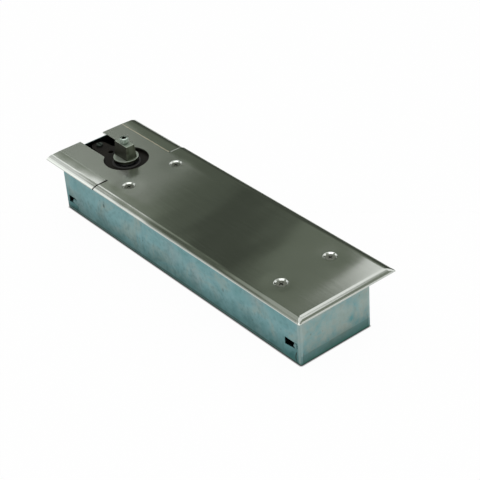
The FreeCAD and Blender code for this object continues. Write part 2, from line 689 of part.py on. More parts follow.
def bottom_plug():
    """The threaded plug that closes the cam chamber and holds the lower bearing in its hub."""
    top = HOUSING_BOTTOM + BOTTOM_PLUG_THICKNESS
    disc = post(CHAMBER_RADIUS - THREADED, HOUSING_BOTTOM, top)
    plug = disc.fuse(post(HUB_RADIUS, HOUSING_BOTTOM, HUB_TOP)).removeSplitter()
    plug = plug.cut(post(LOWER_BEARING_RADIUS + PRESSED, WASHER_BOTTOM, HUB_TOP + PAST))
    for side in (-1, 1):
        plug = plug.cut(post(SPANNER_HOLE_RADIUS, HOUSING_BOTTOM - PAST, HOUSING_BOTTOM + SPANNER_HOLE_DEPTH,
                             side * (CHAMBER_RADIUS - BOTTOM_SPANNER_INSET)))
    low = top - BOTTOM_GROOVE_DROP
    return plug.cut(tube(CHAMBER_RADIUS + PAST, CHAMBER_RADIUS - THREADED - 2 * O_RING_SECTION, low,
                         low + 2 * (O_RING_SECTION + RUNNING)))


def bottom_plug_o_ring():
    z = HOUSING_BOTTOM + BOTTOM_PLUG_THICKNESS - BOTTOM_GROOVE_DROP + O_RING_SECTION + RUNNING
    return flat_ring(CHAMBER_RADIUS - PRESSED, O_RING_SECTION - PRESSED, z)


def upper_needle_bearing():
    return tube(UPPER_BEARING_RADIUS, SHAFT_RADIUS + RUNNING, UPPER_BEARING_BOTTOM, UPPER_BEARING_TOP)


def lower_needle_bearing():
    return tube(LOWER_BEARING_RADIUS, LOWER_JOURNAL_RADIUS + RUNNING, LOWER_BEARING_BOTTOM, LOWER_BEARING_TOP)


def thrust_washer():
    return tube(LOWER_BEARING_RADIUS - WASHER_ROOM, WASHER_HOLE_RADIUS, WASHER_BOTTOM, SHAFT_FOOT - RUNNING)


def shaft_seal():
    """A lip seal whose rim stands a little above the housing."""
    inner = SHAFT_RADIUS + RUNNING
    lip_z = SEAL_TOP - SEAL_LIP_DEPTH
    return turned([(inner, SEAL_BOTTOM), (SEAL_RADIUS, SEAL_BOTTOM), (SEAL_RADIUS, SEAL_TOP - SEAL_EDGE),
                   (SEAL_RADIUS - SEAL_EDGE, SEAL_TOP), (inner + SEAL_LIP_WIDTH, SEAL_TOP),
                   (inner + SEAL_EDGE, lip_z), (inner, lip_z - SEAL_EDGE)])


# Spindle

def spindle_shaft():
    """The shaft: a lower journal, a hexagon for the cam, a shoulder, and the upper journal."""
    r_low = LOWER_JOURNAL_RADIUS
    shoulder_top = CAM_TOP + SHOULDER_THICKNESS
    shaft = turned([(0, SHAFT_FOOT), (r_low - SHAFT_BEVEL, SHAFT_FOOT), (r_low, SHAFT_FOOT + SHAFT_BEVEL),
                    (r_low, CAM_BOTTOM), (SHAFT_RADIUS, CAM_BOTTOM), (SHAFT_RADIUS, CAM_TOP),
                    (SHOULDER_RADIUS, CAM_TOP), (SHOULDER_RADIUS, shoulder_top), (SHAFT_RADIUS, shoulder_top),
                    (SHAFT_RADIUS, SHAFT_TOP), (0, SHAFT_TOP)])
    around = post(SHAFT_RADIUS + PAST, CAM_BOTTOM, CAM_TOP)
    shaft = shaft.cut(around.cut(hexagon(HEX_ACROSS_FLATS - 2 * RUNNING, CAM_BOTTOM, CAM_TOP)))
    groove_bottom = CAM_BOTTOM - CIRCLIP_THICKNESS
    shaft = shaft.cut(tube(SHAFT_RADIUS + PAST, CIRCLIP_INNER - RUNNING, groove_bottom, CAM_BOTTOM))
    half = SOCKET_ACROSS_FLATS / 2
    shaft = shaft.cut(block(-half, half, -half, half, SHAFT_TOP - SOCKET_DEPTH, SHAFT_TOP + PAST))
    return shaft.cut(post(CAP_SHANK_RADIUS + THREADED, BLOCK_TOP - CAP_SCREW_LENGTH - PAST, SHAFT_TOP))


def cam_circlip():
    """A snap ring with a gap and two ears."""
    low = CAM_BOTTOM - CIRCLIP_THICKNESS + RUNNING
    solids = [post(CIRCLIP_OUTER, low, CAM_BOTTOM)]
    for side in (-1, 1):
        ear_y = side * (CIRCLIP_GAP + RUNNING)
        solids.append(post(CIRCLIP_EAR_RADIUS, low, CAM_BOTTOM, -CIRCLIP_OUTER, ear_y))
    half = CIRCLIP_GAP / 2
    reach = CIRCLIP_OUTER + CIRCLIP_EAR_RADIUS + PAST
    clip = union(solids).cut(post(CIRCLIP_INNER, low - PAST, CAM_BOTTOM + PAST))
    return clip.cut(block(-reach, 0, -half, half, low - PAST, CAM_BOTTOM + PAST))


def roller_centre(angle):
    """Where the roller's centre lies, as the cam sees it, after a turn of the spindle."""
    distance = ROLLER_X + LIFT_PER_DEGREE * abs(angle)
    turn = math.radians(angle)
    return Vector(distance * math.cos(turn), distance * math.sin(turn), 0)


def flank_point(angle):
    """The cam's edge: the roller's path, offset inwards by the roller's radius."""
    step = 0.01
    along = (roller_centre(angle + step) - roller_centre(angle - step)).normalize()
    inward = Vector(-along.y, along.x, 0)
    return roller_centre(angle) + inward * (ROLLER_RADIUS + MESH_CLEARANCE)


def cam_disc():
    """A heart cam: the roller rests in its notch, and each flank lifts it evenly."""
    first, last, steps = 1.0, SPINDLE_TRAVEL + CAM_RUN_ON, 24
    upper = [flank_point(first + (last - first) * i / steps) for i in range(steps + 1)]
    lower = [Vector(p.x, -p.y, 0) for p in reversed(upper)]
    flank_up = Part.BSplineCurve()
    flank_up.interpolate(upper)
    flank_down = Part.BSplineCurve()
    flank_down.interpolate(lower)
    back = Part.Arc(upper[-1], Vector(-upper[-1].Length, 0, 0), lower[0])
    notch = Part.Arc(lower[-1], Vector(NOTCH_RADIUS - MESH_CLEARANCE, 0, 0), upper[0])
    outline = Part.Wire([curve.toShape() for curve in (flank_up, back, flank_down, notch)])
    disc = Part.Face(outline).extrude(Vector(0, 0, CAM_THICKNESS))
    disc.translate(Vector(0, 0, CAM_BOTTOM))
    return disc.cut(hexagon(HEX_ACROSS_FLATS, CAM_BOTTOM - PAST, CAM_TOP + PAST))


def rectangle(half_x, half_y, z):
    points = [Vector(sx * half_x, sy * half_y, z) for sx, sy in ((-1, -1), (1, -1), (1, 1), (-1, 1))]
    return Part.makePolygon(points + points[:1])


def spindle_insert():
    """The exchangeable collar and tapered block, with its square shank."""
    collar = post(COLLAR_RADIUS, SHAFT_TOP, COLLAR_TOP)
    collar = collar.makeFillet(COLLAR_EDGE, level_edges(collar, COLLAR_TOP))
    taper = Part.makeLoft([rectangle(BLOCK_HALF_LENGTH_FOOT, BLOCK_HALF_WIDTH_FOOT, COLLAR_TOP),
                           rectangle(BLOCK_HALF_LENGTH_TOP, BLOCK_HALF_WIDTH_TOP, BLOCK_TOP)], True, True)
    taper = taper.makeFillet(BLOCK_EDGE, [e for e in taper.Edges if e.BoundBox.ZMax > COLLAR_TOP + PAST])
    half = SOCKET_ACROSS_FLATS / 2 - RUNNING
    shank = block(-half, half, -half, half, SHAFT_TOP - SOCKET_DEPTH + BEARING_GAP, SHAFT_TOP + PAST)
    return union([collar, taper, shank]).cut(post(CAP_SHANK_RADIUS + RUNNING, 0, BLOCK_TOP + PAST))


def spindle_cap_screw():
    """A hexagon-socket cap screw down the middle of the insert."""
    top = BLOCK_TOP + CAP_HEAD_HEIGHT
    head = post(CAP_HEAD_RADIUS, BLOCK_TOP, top)
    head = head.makeFillet(BLOCK_EDGE, level_edges(head, top))
    screw = union([head, post(CAP_SHANK_RADIUS, BLOCK_TOP - CAP_SCREW_LENGTH, BLOCK_TOP + PAST)])
    return screw.cut(hexagon(CAP_SOCKET_ACROSS_FLATS, top - CAP_SOCKET_DEPTH, top + PAST))


# Piston and roller

def piston():
    """A forked piston: two tines hold the roller's pin, and the head carries ring and valve."""
    body = rod(PISTON_RADIUS, FORK_START, PISTON_BACK)
    wide = PISTON_RADIUS + PAST
    front = FORK_START - PAST
    low, high = BORE_Z - wide, BORE_Z + wide
    slot = block(front, FORK_ROOT, -wide, wide, CAM_BOTTOM - FORK_SIDE_ROOM, CAM_TOP + FORK_SIDE_ROOM)
    body = body.cut(slot)
    for side in (-1, 1):
        body = body.cut(side_block(front, FORK_ROOT - FORK_SHOULDER, side, FORK_HALF_WIDTH, wide, low, high))
    body = body.fuse(rod(PILOT_RADIUS, PISTON_BACK - PAST, PISTON_BACK + PILOT_LENGTH))
    body = body.cut(post(PIN_RADIUS + PRESSED, low, high, ROLLER_X))
    body = body.cut(rod_tube(wide, PISTON_RADIUS - RING_DEPTH, RING_START, RING_START + RING_WIDTH))
    body = body.cut(rod(CHECK_HOLE_RADIUS, FORK_ROOT - PAST, CHECK_SEAT_X + PAST))
    return body.cut(rod(CHECK_CHAMBER_RADIUS, CHECK_SEAT_X, PISTON_BACK + PILOT_LENGTH + PAST))


def piston_ring():
    """A split ring in the piston's groove."""
    x0, x1 = RING_START + RUNNING, RING_START + RING_WIDTH - RUNNING
    whole = rod_tube(BORE_RADIUS - PRESSED, PISTON_RADIUS - RING_DEPTH + CLEAR_HOLE, x0, x1)
    half = RING_GAP / 2
    return whole.cut(block(x0 - PAST, x1 + PAST, -half, half, BORE_Z, BORE_Z + BORE_RADIUS))


def check_ball():
    offset = math.sqrt(CHECK_BALL_RADIUS ** 2 - CHECK_HOLE_RADIUS ** 2) + RUNNING
    return Part.makeSphere(CHECK_BALL_RADIUS, Vector(CHECK_SEAT_X + offset, 0, BORE_Z))


def check_ball_retainer():
    back = PISTON_BACK + PILOT_LENGTH
    return rod_tube(CHECK_CHAMBER_RADIUS - PRESSED, RETAINER_HOLE_RADIUS, back - RETAINER_THICKNESS, back)


def cam_roller():
    low, high = CAM_BOTTOM + ROLLER_SIDE_ROOM, CAM_TOP - ROLLER_SIDE_ROOM
    wheel = post(ROLLER_RADIUS, low, high, ROLLER_X)
    wheel = wheel.makeChamfer(ROLLER_BEVEL, level_edges(wheel, low) + level_edges(wheel, high))
    return wheel.cut(post(PIN_RADIUS + RUNNING, low - PAST, high + PAST, ROLLER_X))


def roller_pin():
    half_length = PISTON_RADIUS - PIN_SINK
    return post(PIN_RADIUS, BORE_Z - half_length, BORE_Z + half_length, ROLLER_X)


# Closing spring

def arc_from(start, along, end):
    """The arc that leaves start in a direction and ends at end."""
    chord = end - start
    ahead = Vector(along).normalize()
    towards = Vector(chord).normalize()
    angle = math.acos(max(-1.0, min(1.0, ahead.dot(towards))))
    bulge = (ahead - towards * ahead.dot(towards)).normalize()
    middle = start + chord * 0.5 + bulge * (chord.Length / 2 * math.tan(angle / 2))
    return Part.Arc(start, middle, end).toShape()


def biarc(p0, t0, p1, t1):
    """Two arcs that join two points and keep the direction at each."""
    gap = p1 - p0
    a = 2 * (1 - t0.dot(t1))
    b = gap.dot(t0 + t1)
    reach = (math.sqrt(b * b + a * gap.dot(gap)) - b) / a
    joint = (p0 + p1 + (t0 - t1) * reach) * 0.5
    chord = joint - p0
    at_joint = chord * (2 * t0.dot(chord) / chord.dot(chord)) - t0
    return [arc_from(p0, t0, joint), arc_from(joint, at_joint, p1)]


def spring_rise(turn, length):
    """How far along the wire's centre is after so many turns: close ends, an open middle."""
    end_pitch = 2 * SPRING_WIRE_RADIUS + SPRING_END_GAP
    middle_turns = SPRING_TURNS - 2
    open_pitch = end_pitch + (length - SPRING_TURNS * end_pitch) / (middle_turns - 1)

    def climbed(turns):
        blend = min(max(turns - 1, 0), 1)
        opened = max(turns - 2, 0)
        return end_pitch * turns + (open_pitch - end_pitch) * (blend * blend / 2 + opened)

    if turn <= SPRING_TURNS / 2:
        return climbed(turn)
    return length - climbed(SPRING_TURNS - turn)


def closing_spring():
    """A helical compression spring between the piston and the spring seat."""
    x0 = PISTON_BACK + SPRING_WIRE_RADIUS + SPRING_SEATING
    length = SEAT_FACE_X - SPRING_WIRE_RADIUS - SPRING_SEATING - x0

    def centre(turn):
        angle = 2 * math.pi * turn
        return Vector(x0 + spring_rise(turn, length), SPRING_MEAN_RADIUS * math.cos(angle),
                      BORE_Z + SPRING_MEAN_RADIUS * math.sin(angle))

    def direction(turn):
        step = 1e-4
        return (centre(min(turn + step, SPRING_TURNS)) - centre(max(turn - step, 0))).normalize()

    edges = []
    for i in range(SPRING_TURNS * 2):
        here, there = i / 2, (i + 1) / 2
        edges += biarc(centre(here), direction(here), centre(there), direction(there))
    section = Part.Wire([Part.Circle(centre(0), direction(0), SPRING_WIRE_RADIUS).toShape()])
    wire = Part.Wire(edges).makePipeShell([section], True, False)
    samples = 16
    starts = [i / samples for i in range((SPRING_TURNS - 1) * samples)]
    spans = [(centre(turn + 1) - centre(turn)).Length for turn in starts]
    print("closing_spring least gap to itself", round(min(spans) - 2 * SPRING_WIRE_RADIUS, 3))
    return wire


# Spring seat, force adjuster and end plug

def spring_seat():
    """A nut plate that the adjusting screw draws along, keyed so that it can't turn."""
    back = SEAT_FACE_X + SEAT_THICKNESS
    front = SEAT_FACE_X - SEAT_PILOT_LENGTH
    half = KEY_WIDTH / 2
    key = block(SEAT_FACE_X, back, -half, half, BORE_Z - BORE_RADIUS - KEY_HEIGHT + RUNNING,
                BORE_Z - ADJUSTER_THREAD_RADIUS - KEY_WIDTH)
    disc = rod(BORE_RADIUS - RUNNING, SEAT_FACE_X, back)
    seat = union([disc, rod(PILOT_RADIUS, front, SEAT_FACE_X), key])
    return seat.cut(rod(ADJUSTER_THREAD_RADIUS + THREADED, front - PAST, back + PAST))


def force_adjusting_screw():
    """A threaded spindle with a thrust collar, a sealed neck and a hexagon socket."""
    thread_start = SEAT_FACE_X - SEAT_TRAVEL - SEAT_PILOT_LENGTH - PAST
    screw = union([rod(ADJUSTER_THREAD_RADIUS, thread_start, ADJUSTER_COLLAR_START),
                   rod(ADJUSTER_COLLAR_RADIUS, ADJUSTER_COLLAR_START, ADJUSTER_COLLAR_END),
                   rod(ADJUSTER_NECK_RADIUS, ADJUSTER_COLLAR_END, ADJUSTER_BACK)])
    half = O_RING_SECTION + RUNNING
    screw = screw.cut(rod_tube(ADJUSTER_NECK_RADIUS + PAST, ADJUSTER_NECK_RADIUS - 2 * O_RING_SECTION,
                               NECK_GROOVE_X - half, NECK_GROOVE_X + half))
    return screw.cut(rod_hexagon(ADJUSTER_SOCKET_ACROSS_FLATS, ADJUSTER_BACK - ADJUSTER_SOCKET_DEPTH,
                                 ADJUSTER_BACK + PAST))


def adjuster_o_ring():
    return rod_ring(ADJUSTER_NECK_RADIUS + RUNNING - PRESSED, O_RING_SECTION, NECK_GROOVE_X)


def end_plug():
    """The threaded plug that closes the cylinder and takes the spring's thrust."""
    plug = rod(PLUG_RADIUS, BORE_END + RUNNING, BARREL_END)
    plug = plug.cut(rod(ADJUSTER_COLLAR_RADIUS + CLEAR_HOLE, BORE_END, ADJUSTER_COLLAR_END + RUNNING))
    plug = plug.cut(rod(ADJUSTER_NECK_RADIUS + RUNNING, BORE_END, BARREL_END + PAST))
    half = O_RING_SECTION + RUNNING
    plug = plug.cut(rod_tube(PLUG_RADIUS + PAST, PLUG_RADIUS - 2 * O_RING_SECTION,
                             PLUG_GROOVE_X - half, PLUG_GROOVE_X + half))
    for side in (-1, 1):
        plug = plug.cut(rod(SPANNER_HOLE_RADIUS, BARREL_END - SPANNER_HOLE_DEPTH, BARREL_END + PAST,
                            side * (PLUG_RADIUS - SPANNER_HOLE_INSET)))
    return plug


def end_plug_o_ring():
    return rod_ring(PLUG_RADIUS + THREADED - PRESSED, O_RING_SECTION, PLUG_GROOVE_X)


# Regulating valves

def valve(x, y):
    """A needle valve screw with a screwdriver slot and a ring groove."""
    groove = VALVE_FOOT_Z + VALVE_GROOVE_PLACE
    inner = VALVE_RADIUS - VALVE_GROOVE_DEPTH
    groove_top = groove + VALVE_GROOVE_WIDTH
    shape = turned([(0, VALVE_HEAD_Z), (VALVE_RADIUS, VALVE_HEAD_Z), (VALVE_RADIUS, groove_top),
                    (inner, groove_top), (inner, groove), (VALVE_RADIUS, groove),
                    (VALVE_RADIUS, VALVE_FOOT_Z), (ORIFICE_RADIUS + NEEDLE_SHOULDER, VALVE_FOOT_Z),
                    (ORIFICE_RADIUS - RUNNING, VALVE_FLOOR_Z), (0, VALVE_FLOOR_Z)], x, y)
    half = DRIVE_SLOT / 2
    wide = VALVE_RADIUS + PAST
    return shape.cut(block(x - half, x + half, y - wide, y + wide, VALVE_HEAD_Z - DRIVE_SLOT_DEPTH,
                           VALVE_HEAD_Z + PAST))


def valve_o_ring(x, y):
    z = VALVE_FOOT_Z + VALVE_GROOVE_PLACE + VALVE_GROOVE_WIDTH / 2
    return flat_ring(VALVE_RADIUS + THREADED - PRESSED, VALVE_RING_SECTION, z, x, y)


# Small fasteners

def slotted(screw, x, y, radius, top):
    """Cut a screwdriver slot across a head."""
    half = DRIVE_SLOT / 2
    wide = radius + PAST
    return screw.cut(block(x - wide, x + wide, y - half, y + half, top - DRIVE_SLOT_DEPTH, top + PAST))


def weld_nut(x, y):
    top = FLOOR + WELD_NUT_HEIGHT
    nut = hexagon(WELD_NUT_ACROSS_FLATS, FLOOR, top, x, y)
    return nut.cut(post(HOLDING_SHANK_RADIUS + THREADED, FLOOR - PAST, top + PAST, x, y))


def holding_screw(x, y, seat):
    """A pan-head screw from a lug of the housing down into its weld nut."""
    top = seat + HOLDING_HEAD_HEIGHT
    head = post(HOLDING_HEAD_RADIUS, seat, top, x, y)
    head = head.makeFillet(HOLDING_HEAD_EDGE, level_edges(head, top))
    screw = union([head, post(HOLDING_SHANK_RADIUS, FLOOR + HOLDING_TIP_GAP, seat + PAST, x, y)])
    return slotted(screw, x, y, HOLDING_HEAD_RADIUS, top)


def levelling_screw(x, y):
    """A set screw in the foot of a column, with its tip on the floor of the box."""
    top = FLOOR + LEVELLING_LENGTH
    screw = turned([(0, FLOOR), (LEVELLING_RADIUS - LEVELLING_BEVEL, FLOOR),
                    (LEVELLING_RADIUS, FLOOR + LEVELLING_BEVEL), (LEVELLING_RADIUS, top), (0, top)], x, y)
    return screw.cut(hexagon(LEVELLING_SOCKET_ACROSS_FLATS, top - LEVELLING_SOCKET_DEPTH, top + PAST, x, y))


def filler_seal_washer():
    return tube(FILLER_HEAD_RADIUS, FILLER_SHANK_RADIUS + RUNNING, BARREL_TOP,
                BARREL_TOP + FILLER_WASHER_THICKNESS, FILLER_X)


def oil_filler_screw():
    seat = BARREL_TOP + FILLER_WASHER_THICKNESS
    top = seat + FILLER_HEAD_HEIGHT
    screw = union([post(FILLER_HEAD_RADIUS, seat, top, FILLER_X),
                   post(FILLER_SHANK_RADIUS, BORE_Z + BORE_RADIUS + CLEAR_HOLE, seat + PAST, FILLER_X)])
    return slotted(screw, FILLER_X, 0, FILLER_HEAD_RADIUS, top)


save(cement_box(), "cement_box")
save(cover_plate(), "cover_plate")
save(Part.makeCompound([cover_screw(x, y) for x, y in boss_places()]), "cover_screws")
save(closer_housing(), "closer_housing")
save(bottom_plug(), "bottom_plug")
save(bottom_plug_o_ring(), "bottom_plug_o_ring")
save(upper_needle_bearing(), "upper_needle_bearing")
save(lower_needle_bearing(), "lower_needle_bearing")
save(thrust_washer(), "thrust_washer")
save(shaft_seal(), "shaft_seal")
save(spindle_shaft(), "spindle_shaft")
save(cam_disc(), "cam_disc")
save(cam_circlip(), "cam_circlip")
save(spindle_insert(), "spindle_insert")
save(spindle_cap_screw(), "spindle_cap_screw")
save(piston(), "piston")
save(piston_ring(), "piston_ring")
save(check_ball(), "check_ball")
save(check_ball_retainer(), "check_ball_retainer")
save(cam_roller(), "cam_roller")
save(roller_pin(), "roller_pin")
save(closing_spring(), "closing_spring")
save(spring_seat(), "spring_seat")
save(force_adjusting_screw(), "force_adjusting_screw")
save(adjuster_o_ring(), "adjuster_o_ring")
save(end_plug(), "end_plug")
save(end_plug_o_ring(), "end_plug_o_ring")
for name, place in zip(("closing_speed_valve", "latching_speed_valve"), valve_places()):
    save(valve(*place), name)
    save(valve_o_ring(*place), name + "_o_ring")
save(Part.makeCompound([weld_nut(x, y) for x, y, seat in holding_places()]), "box_weld_nuts")
save(Part.makeCompound([holding_screw(*place) for place in holding_places()]), "holding_screws")
save(Part.makeCompound([levelling_screw(x, y) for x, y in column_places()]), "levelling_screws")
save(oil_filler_screw(), "oil_filler_screw")
save(filler_seal_washer(), "filler_seal_washer")
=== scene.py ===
"""Floor spring in its cement box, with its cover plate on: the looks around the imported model.

Metres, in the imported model's frame: +Z up, +X along the box away from the spindle, +Y to the back.
"""
import bmesh
import bpy
import math
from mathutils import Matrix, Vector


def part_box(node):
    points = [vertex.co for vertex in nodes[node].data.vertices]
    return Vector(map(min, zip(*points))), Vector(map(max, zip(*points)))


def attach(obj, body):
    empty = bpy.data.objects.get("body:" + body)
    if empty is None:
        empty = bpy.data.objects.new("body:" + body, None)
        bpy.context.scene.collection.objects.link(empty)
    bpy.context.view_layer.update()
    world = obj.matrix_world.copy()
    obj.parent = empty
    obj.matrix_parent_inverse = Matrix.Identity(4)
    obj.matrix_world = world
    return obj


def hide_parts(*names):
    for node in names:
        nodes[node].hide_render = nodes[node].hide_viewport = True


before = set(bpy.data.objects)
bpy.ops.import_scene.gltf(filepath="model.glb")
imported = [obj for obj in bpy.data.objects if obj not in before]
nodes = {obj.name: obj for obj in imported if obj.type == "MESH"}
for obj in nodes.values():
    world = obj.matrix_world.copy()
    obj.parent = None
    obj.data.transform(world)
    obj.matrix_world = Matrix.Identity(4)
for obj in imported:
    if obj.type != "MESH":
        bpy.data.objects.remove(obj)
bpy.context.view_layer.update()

scene = bpy.context.scene
mm = 0.001


# Camera
# A long lens looks down on the box from its front right corner, as in the photograph.

camera_data = bpy.data.cameras.new("camera")
camera_data.lens = 106.286
camera_data.sensor_width = 36.0
camera_data.shift_x = 0.0107
camera_data.shift_y = 0.0036
camera = bpy.data.objects.new("camera", camera_data)
camera.location = (0.983494, -0.613947, 0.731590)
camera.rotation_euler = (math.radians(56.0609), math.radians(3.8089), math.radians(50.7395))
scene.collection.objects.link(camera)
scene.camera = camera


# Cement box
# A tray bent and welded from steel sheet, then zinc plated and blue passivated. It is cast into
# the floor. The bath leaves cloudy bluish and pinkish patches, runs, and a darker tide at the foot.

def shade(hex_colour):
    """A screen colour such as #8FA3A2 as the linear values that the nodes take."""
    linear = []
    for start in (1, 3, 5):
        value = int(hex_colour[start:start + 2], 16) / 255
        linear.append(value / 12.92 if value <= 0.04045 else ((value + 0.055) / 1.055) ** 2.4)
    return (*linear, 1.0)


def add(tree, kind, inputs, **settings):
    """Add a node with its settings. An input takes a value, or the output that feeds it."""
    node = tree.nodes.new("ShaderNode" + kind)
    for name, value in settings.items():
        setattr(node, name, value)
    for name, value in inputs.items():
        if isinstance(value, bpy.types.NodeSocket):
            tree.links.new(value, node.inputs[name])
        else:
            node.inputs[name].default_value = value
    return node


def finish(name):
    """A new material, as its empty node tree with the principled shader in place."""
    material = bpy.data.materials.new(name)
    material.use_nodes = True
    tree = material.node_tree
    return material, tree, tree.nodes["Principled BSDF"]


def dress(material, *names):
    """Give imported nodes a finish."""
    for name in names:
        for slot in nodes[name].material_slots:
            slot.material = material


def refine(name, body, material, crease=35.0, pressed=False):
    """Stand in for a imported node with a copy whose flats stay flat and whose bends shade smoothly.

    A pressed sheet keeps its short folds crisp, also where they turn by only a few degrees.
    """
    shell = bmesh.new()
    shell.from_mesh(nodes[name].data)
    for layer in list(shell.loops.layers.float_vector):
        shell.loops.layers.float_vector.remove(layer)
    bmesh.ops.remove_doubles(shell, verts=shell.verts, dist=0.002 * mm)
    for face in shell.faces:
        face.smooth = True
    for edge in shell.edges:
        short_fold = pressed and 4 * mm < edge.calc_length() < 25 * mm
        sharpest = math.radians(4.0 if short_fold else crease)
        edge.smooth = len(edge.link_faces) == 2 and edge.calc_face_angle() < sharpest
    mesh = bpy.data.meshes.new(name + "_shell")
    shell.to_mesh(mesh)
    shell.free()
    if "custom_normal" in mesh.attributes:
        mesh.attributes.remove(mesh.attributes["custom_normal"])
    mesh.materials.append(material)
    piece = bpy.data.objects.new(name + "_shell", mesh)
    scene.collection.objects.link(piece)
    flats = piece.modifiers.new("flats", "WEIGHTED_NORMAL")
    flats.keep_sharp = True
    flats.weight = 100
    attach(piece, body)
    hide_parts(name)
    return piece


def feed(tree, shader, **sources):
    """Link outputs to the shader's inputs, named with underscores."""
    for name, source in sources.items():
        tree.links.new(source, shader.inputs[name.replace("_", " ")])


# The next three draw where a finish changes, in the tree of the finish that is being made.

def near(value, target, reach):
    """1 at a target value, and 0 from a reach away on."""
    away = add(tree, "Math", {0: value, 1: target}, operation="SUBTRACT").outputs[0]
    away = add(tree, "Math", {0: away}, operation="ABSOLUTE").outputs[0]
    return add(tree, "MapRange", {"Value": away, "From Min": 0.4 * reach, "From Max": reach,
                                  "To Min": 1.0, "To Max": 0.0}).outputs["Result"]


def where(*limits):
    """1 where every limit holds, and 0 where one doesn't.

    A limit is a mask, or a value with where it starts to hold and where it holds fully.
    """
    result = None
    for limit in limits:
        if isinstance(limit, tuple):
            value, start, full = limit
            limit = add(tree, "MapRange", {"Value": value, "From Min": start,
                                           "From Max": full}).outputs["Result"]
        if result is None:
            result = limit
        else:
            result = add(tree, "Math", {0: result, 1: limit}, operation="MULTIPLY").outputs[0]
    return result


def stain_and_shade(colour, mask, strength, stain):
    """Lay a screen colour over a colour where the mask is, as a stain or as painted shade."""
    share = add(tree, "Math", {0: mask, 1: strength}, operation="MULTIPLY").outputs[0]
    return add(tree, "Mix", {0: share, 6: colour, 7: shade(stain)}, data_type="RGBA").outputs[2]


zinc_sheet, tree, shader = finish("blue_passivated_zinc_sheet")
place = add(tree, "TexCoord", {}).outputs["Object"]
axes = add(tree, "SeparateXYZ", {"Vector": place})
along = axes.outputs["X"]
height = axes.outputs["Z"]
across = add(tree, "Math", {0: axes.outputs["Y"]}, operation="ABSOLUTE").outputs[0]
box_low, box_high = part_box("cement_box")

# The passivation clouds from teal through pale blue to a pinkish grey.
cloud_size = 30 * mm
clouds_at = add(tree, "Mapping", {"Vector": place,
                                  "Scale": (0.8 / cloud_size, 0.8 / cloud_size, 1 / cloud_size)})
clouds = add(tree, "TexNoise", {"Vector": clouds_at.outputs["Vector"], "Scale": 1.0, "Detail": 6.0,
                                "Roughness": 0.6, "Distortion": 1.2}).outputs["Fac"]
tint = add(tree, "ValToRGB", {"Fac": clouds})
tint.color_ramp.elements[0].position = 0.32
tint.color_ramp.elements[0].color = shade("#608E90")
tint.color_ramp.elements[1].position = 0.68
tint.color_ramp.elements[1].color = shade("#8EA09A")
middle = tint.color_ramp.elements.new(0.5)
middle.color = shade("#759DA0")
blush_size = 42 * mm
blush_layout = 4.0
blush = add(tree, "TexNoise", {"Vector": place, "Scale": 1 / blush_size, "Detail": 4.0,
                               "W": blush_layout}, noise_dimensions="4D").outputs["Fac"]
colour = stain_and_shade(tint.outputs["Color"], where((blush, 0.54, 0.74)), 0.5, "#979793")

# The bath ran down the sheet in darker runs, and left a fine mottle between them.
run_width = 7 * mm
run_length = 30 * mm
runs_at = add(tree, "Mapping", {"Vector": place, "Scale": (1 / run_width, 1 / run_width, 1 / run_length)})
runs = add(tree, "TexNoise", {"Vector": runs_at.outputs["Vector"], "Scale": 1.0, "Detail": 4.0,
                              "Distortion": 0.6}).outputs["Fac"]
colour = stain_and_shade(colour, where((runs, 0.52, 0.8)), 0.35, "#4C7C84")
mottle_size = 4 * mm
mottle = add(tree, "TexNoise", {"Vector": place, "Scale": 1 / mottle_size, "Detail": 3.0}).outputs["Fac"]
colour = stain_and_shade(colour, where((mottle, 0.5, 0.66)), 0.28, "#4F7473")

# The sheet is darker and bluer towards the foot, with a ragged upper limit.
foot_band_size = 16 * mm
foot_band_depth = 26 * mm
ragged = add(tree, "TexNoise", {"Vector": place, "Scale": 1 / foot_band_size, "Detail": 6.0,
                                "Roughness": 0.65}).outputs["Fac"]
foot_band = add(tree, "Math", {0: ragged, 1: -foot_band_depth, 2: height}, operation="MULTIPLY_ADD").outputs[0]
colour = stain_and_shade(colour, where((foot_band, 14 * mm, -10 * mm)), 0.95, "#315E5D")

# Dark specks and smaller dots gather in patches where the plating is thin.
specks_apart = 15 * mm
specks_apart_up = 24 * mm
specks_at = add(tree, "Mapping", {"Vector": place, "Scale": (1 / specks_apart, 1 / specks_apart,
                                                             1 / specks_apart_up)})
specks = add(tree, "TexVoronoi", {"Vector": specks_at.outputs["Vector"], "Scale": 1.0}).outputs["Distance"]
colour = stain_and_shade(colour, where((specks, 0.13, 0.05), (ragged, 0.47, 0.6)), 0.75, "#34504F")
dots_apart = 8 * mm
dots_apart_up = 11 * mm
dots_at = add(tree, "Mapping", {"Vector": place, "Scale": (1 / dots_apart, 1 / dots_apart,
                                                           1 / dots_apart_up)})
dots = add(tree, "TexVoronoi", {"Vector": dots_at.outputs["Vector"], "Scale": 1.0}).outputs["Distance"]
colour = stain_and_shade(colour, where((dots, 0.12, 0.05), (mottle, 0.44, 0.56)), 0.6, "#3A5552")

# The end walls keep a warmer, paler coat above the foot. What is on an outer face reaches half a
# millimetre into the sheet.
skin = 0.6 * mm
skin_full = 0.4 * mm
on_side = where((across, box_high.y - skin, box_high.y - skin_full))
far_face = where((along, box_high.x - skin, box_high.x - skin_full))
near_face = where((along, box_low.x + skin, box_low.x + skin_full))
on_end = add(tree, "Math", {0: far_face, 1: near_face}, operation="MAXIMUM").outputs[0]
warm = where(on_end, (height, 2 * mm, 16 * mm), (ragged, 0.36, 0.56))
colour = stain_and_shade(colour, warm, 0.45, "#AEAEA2")

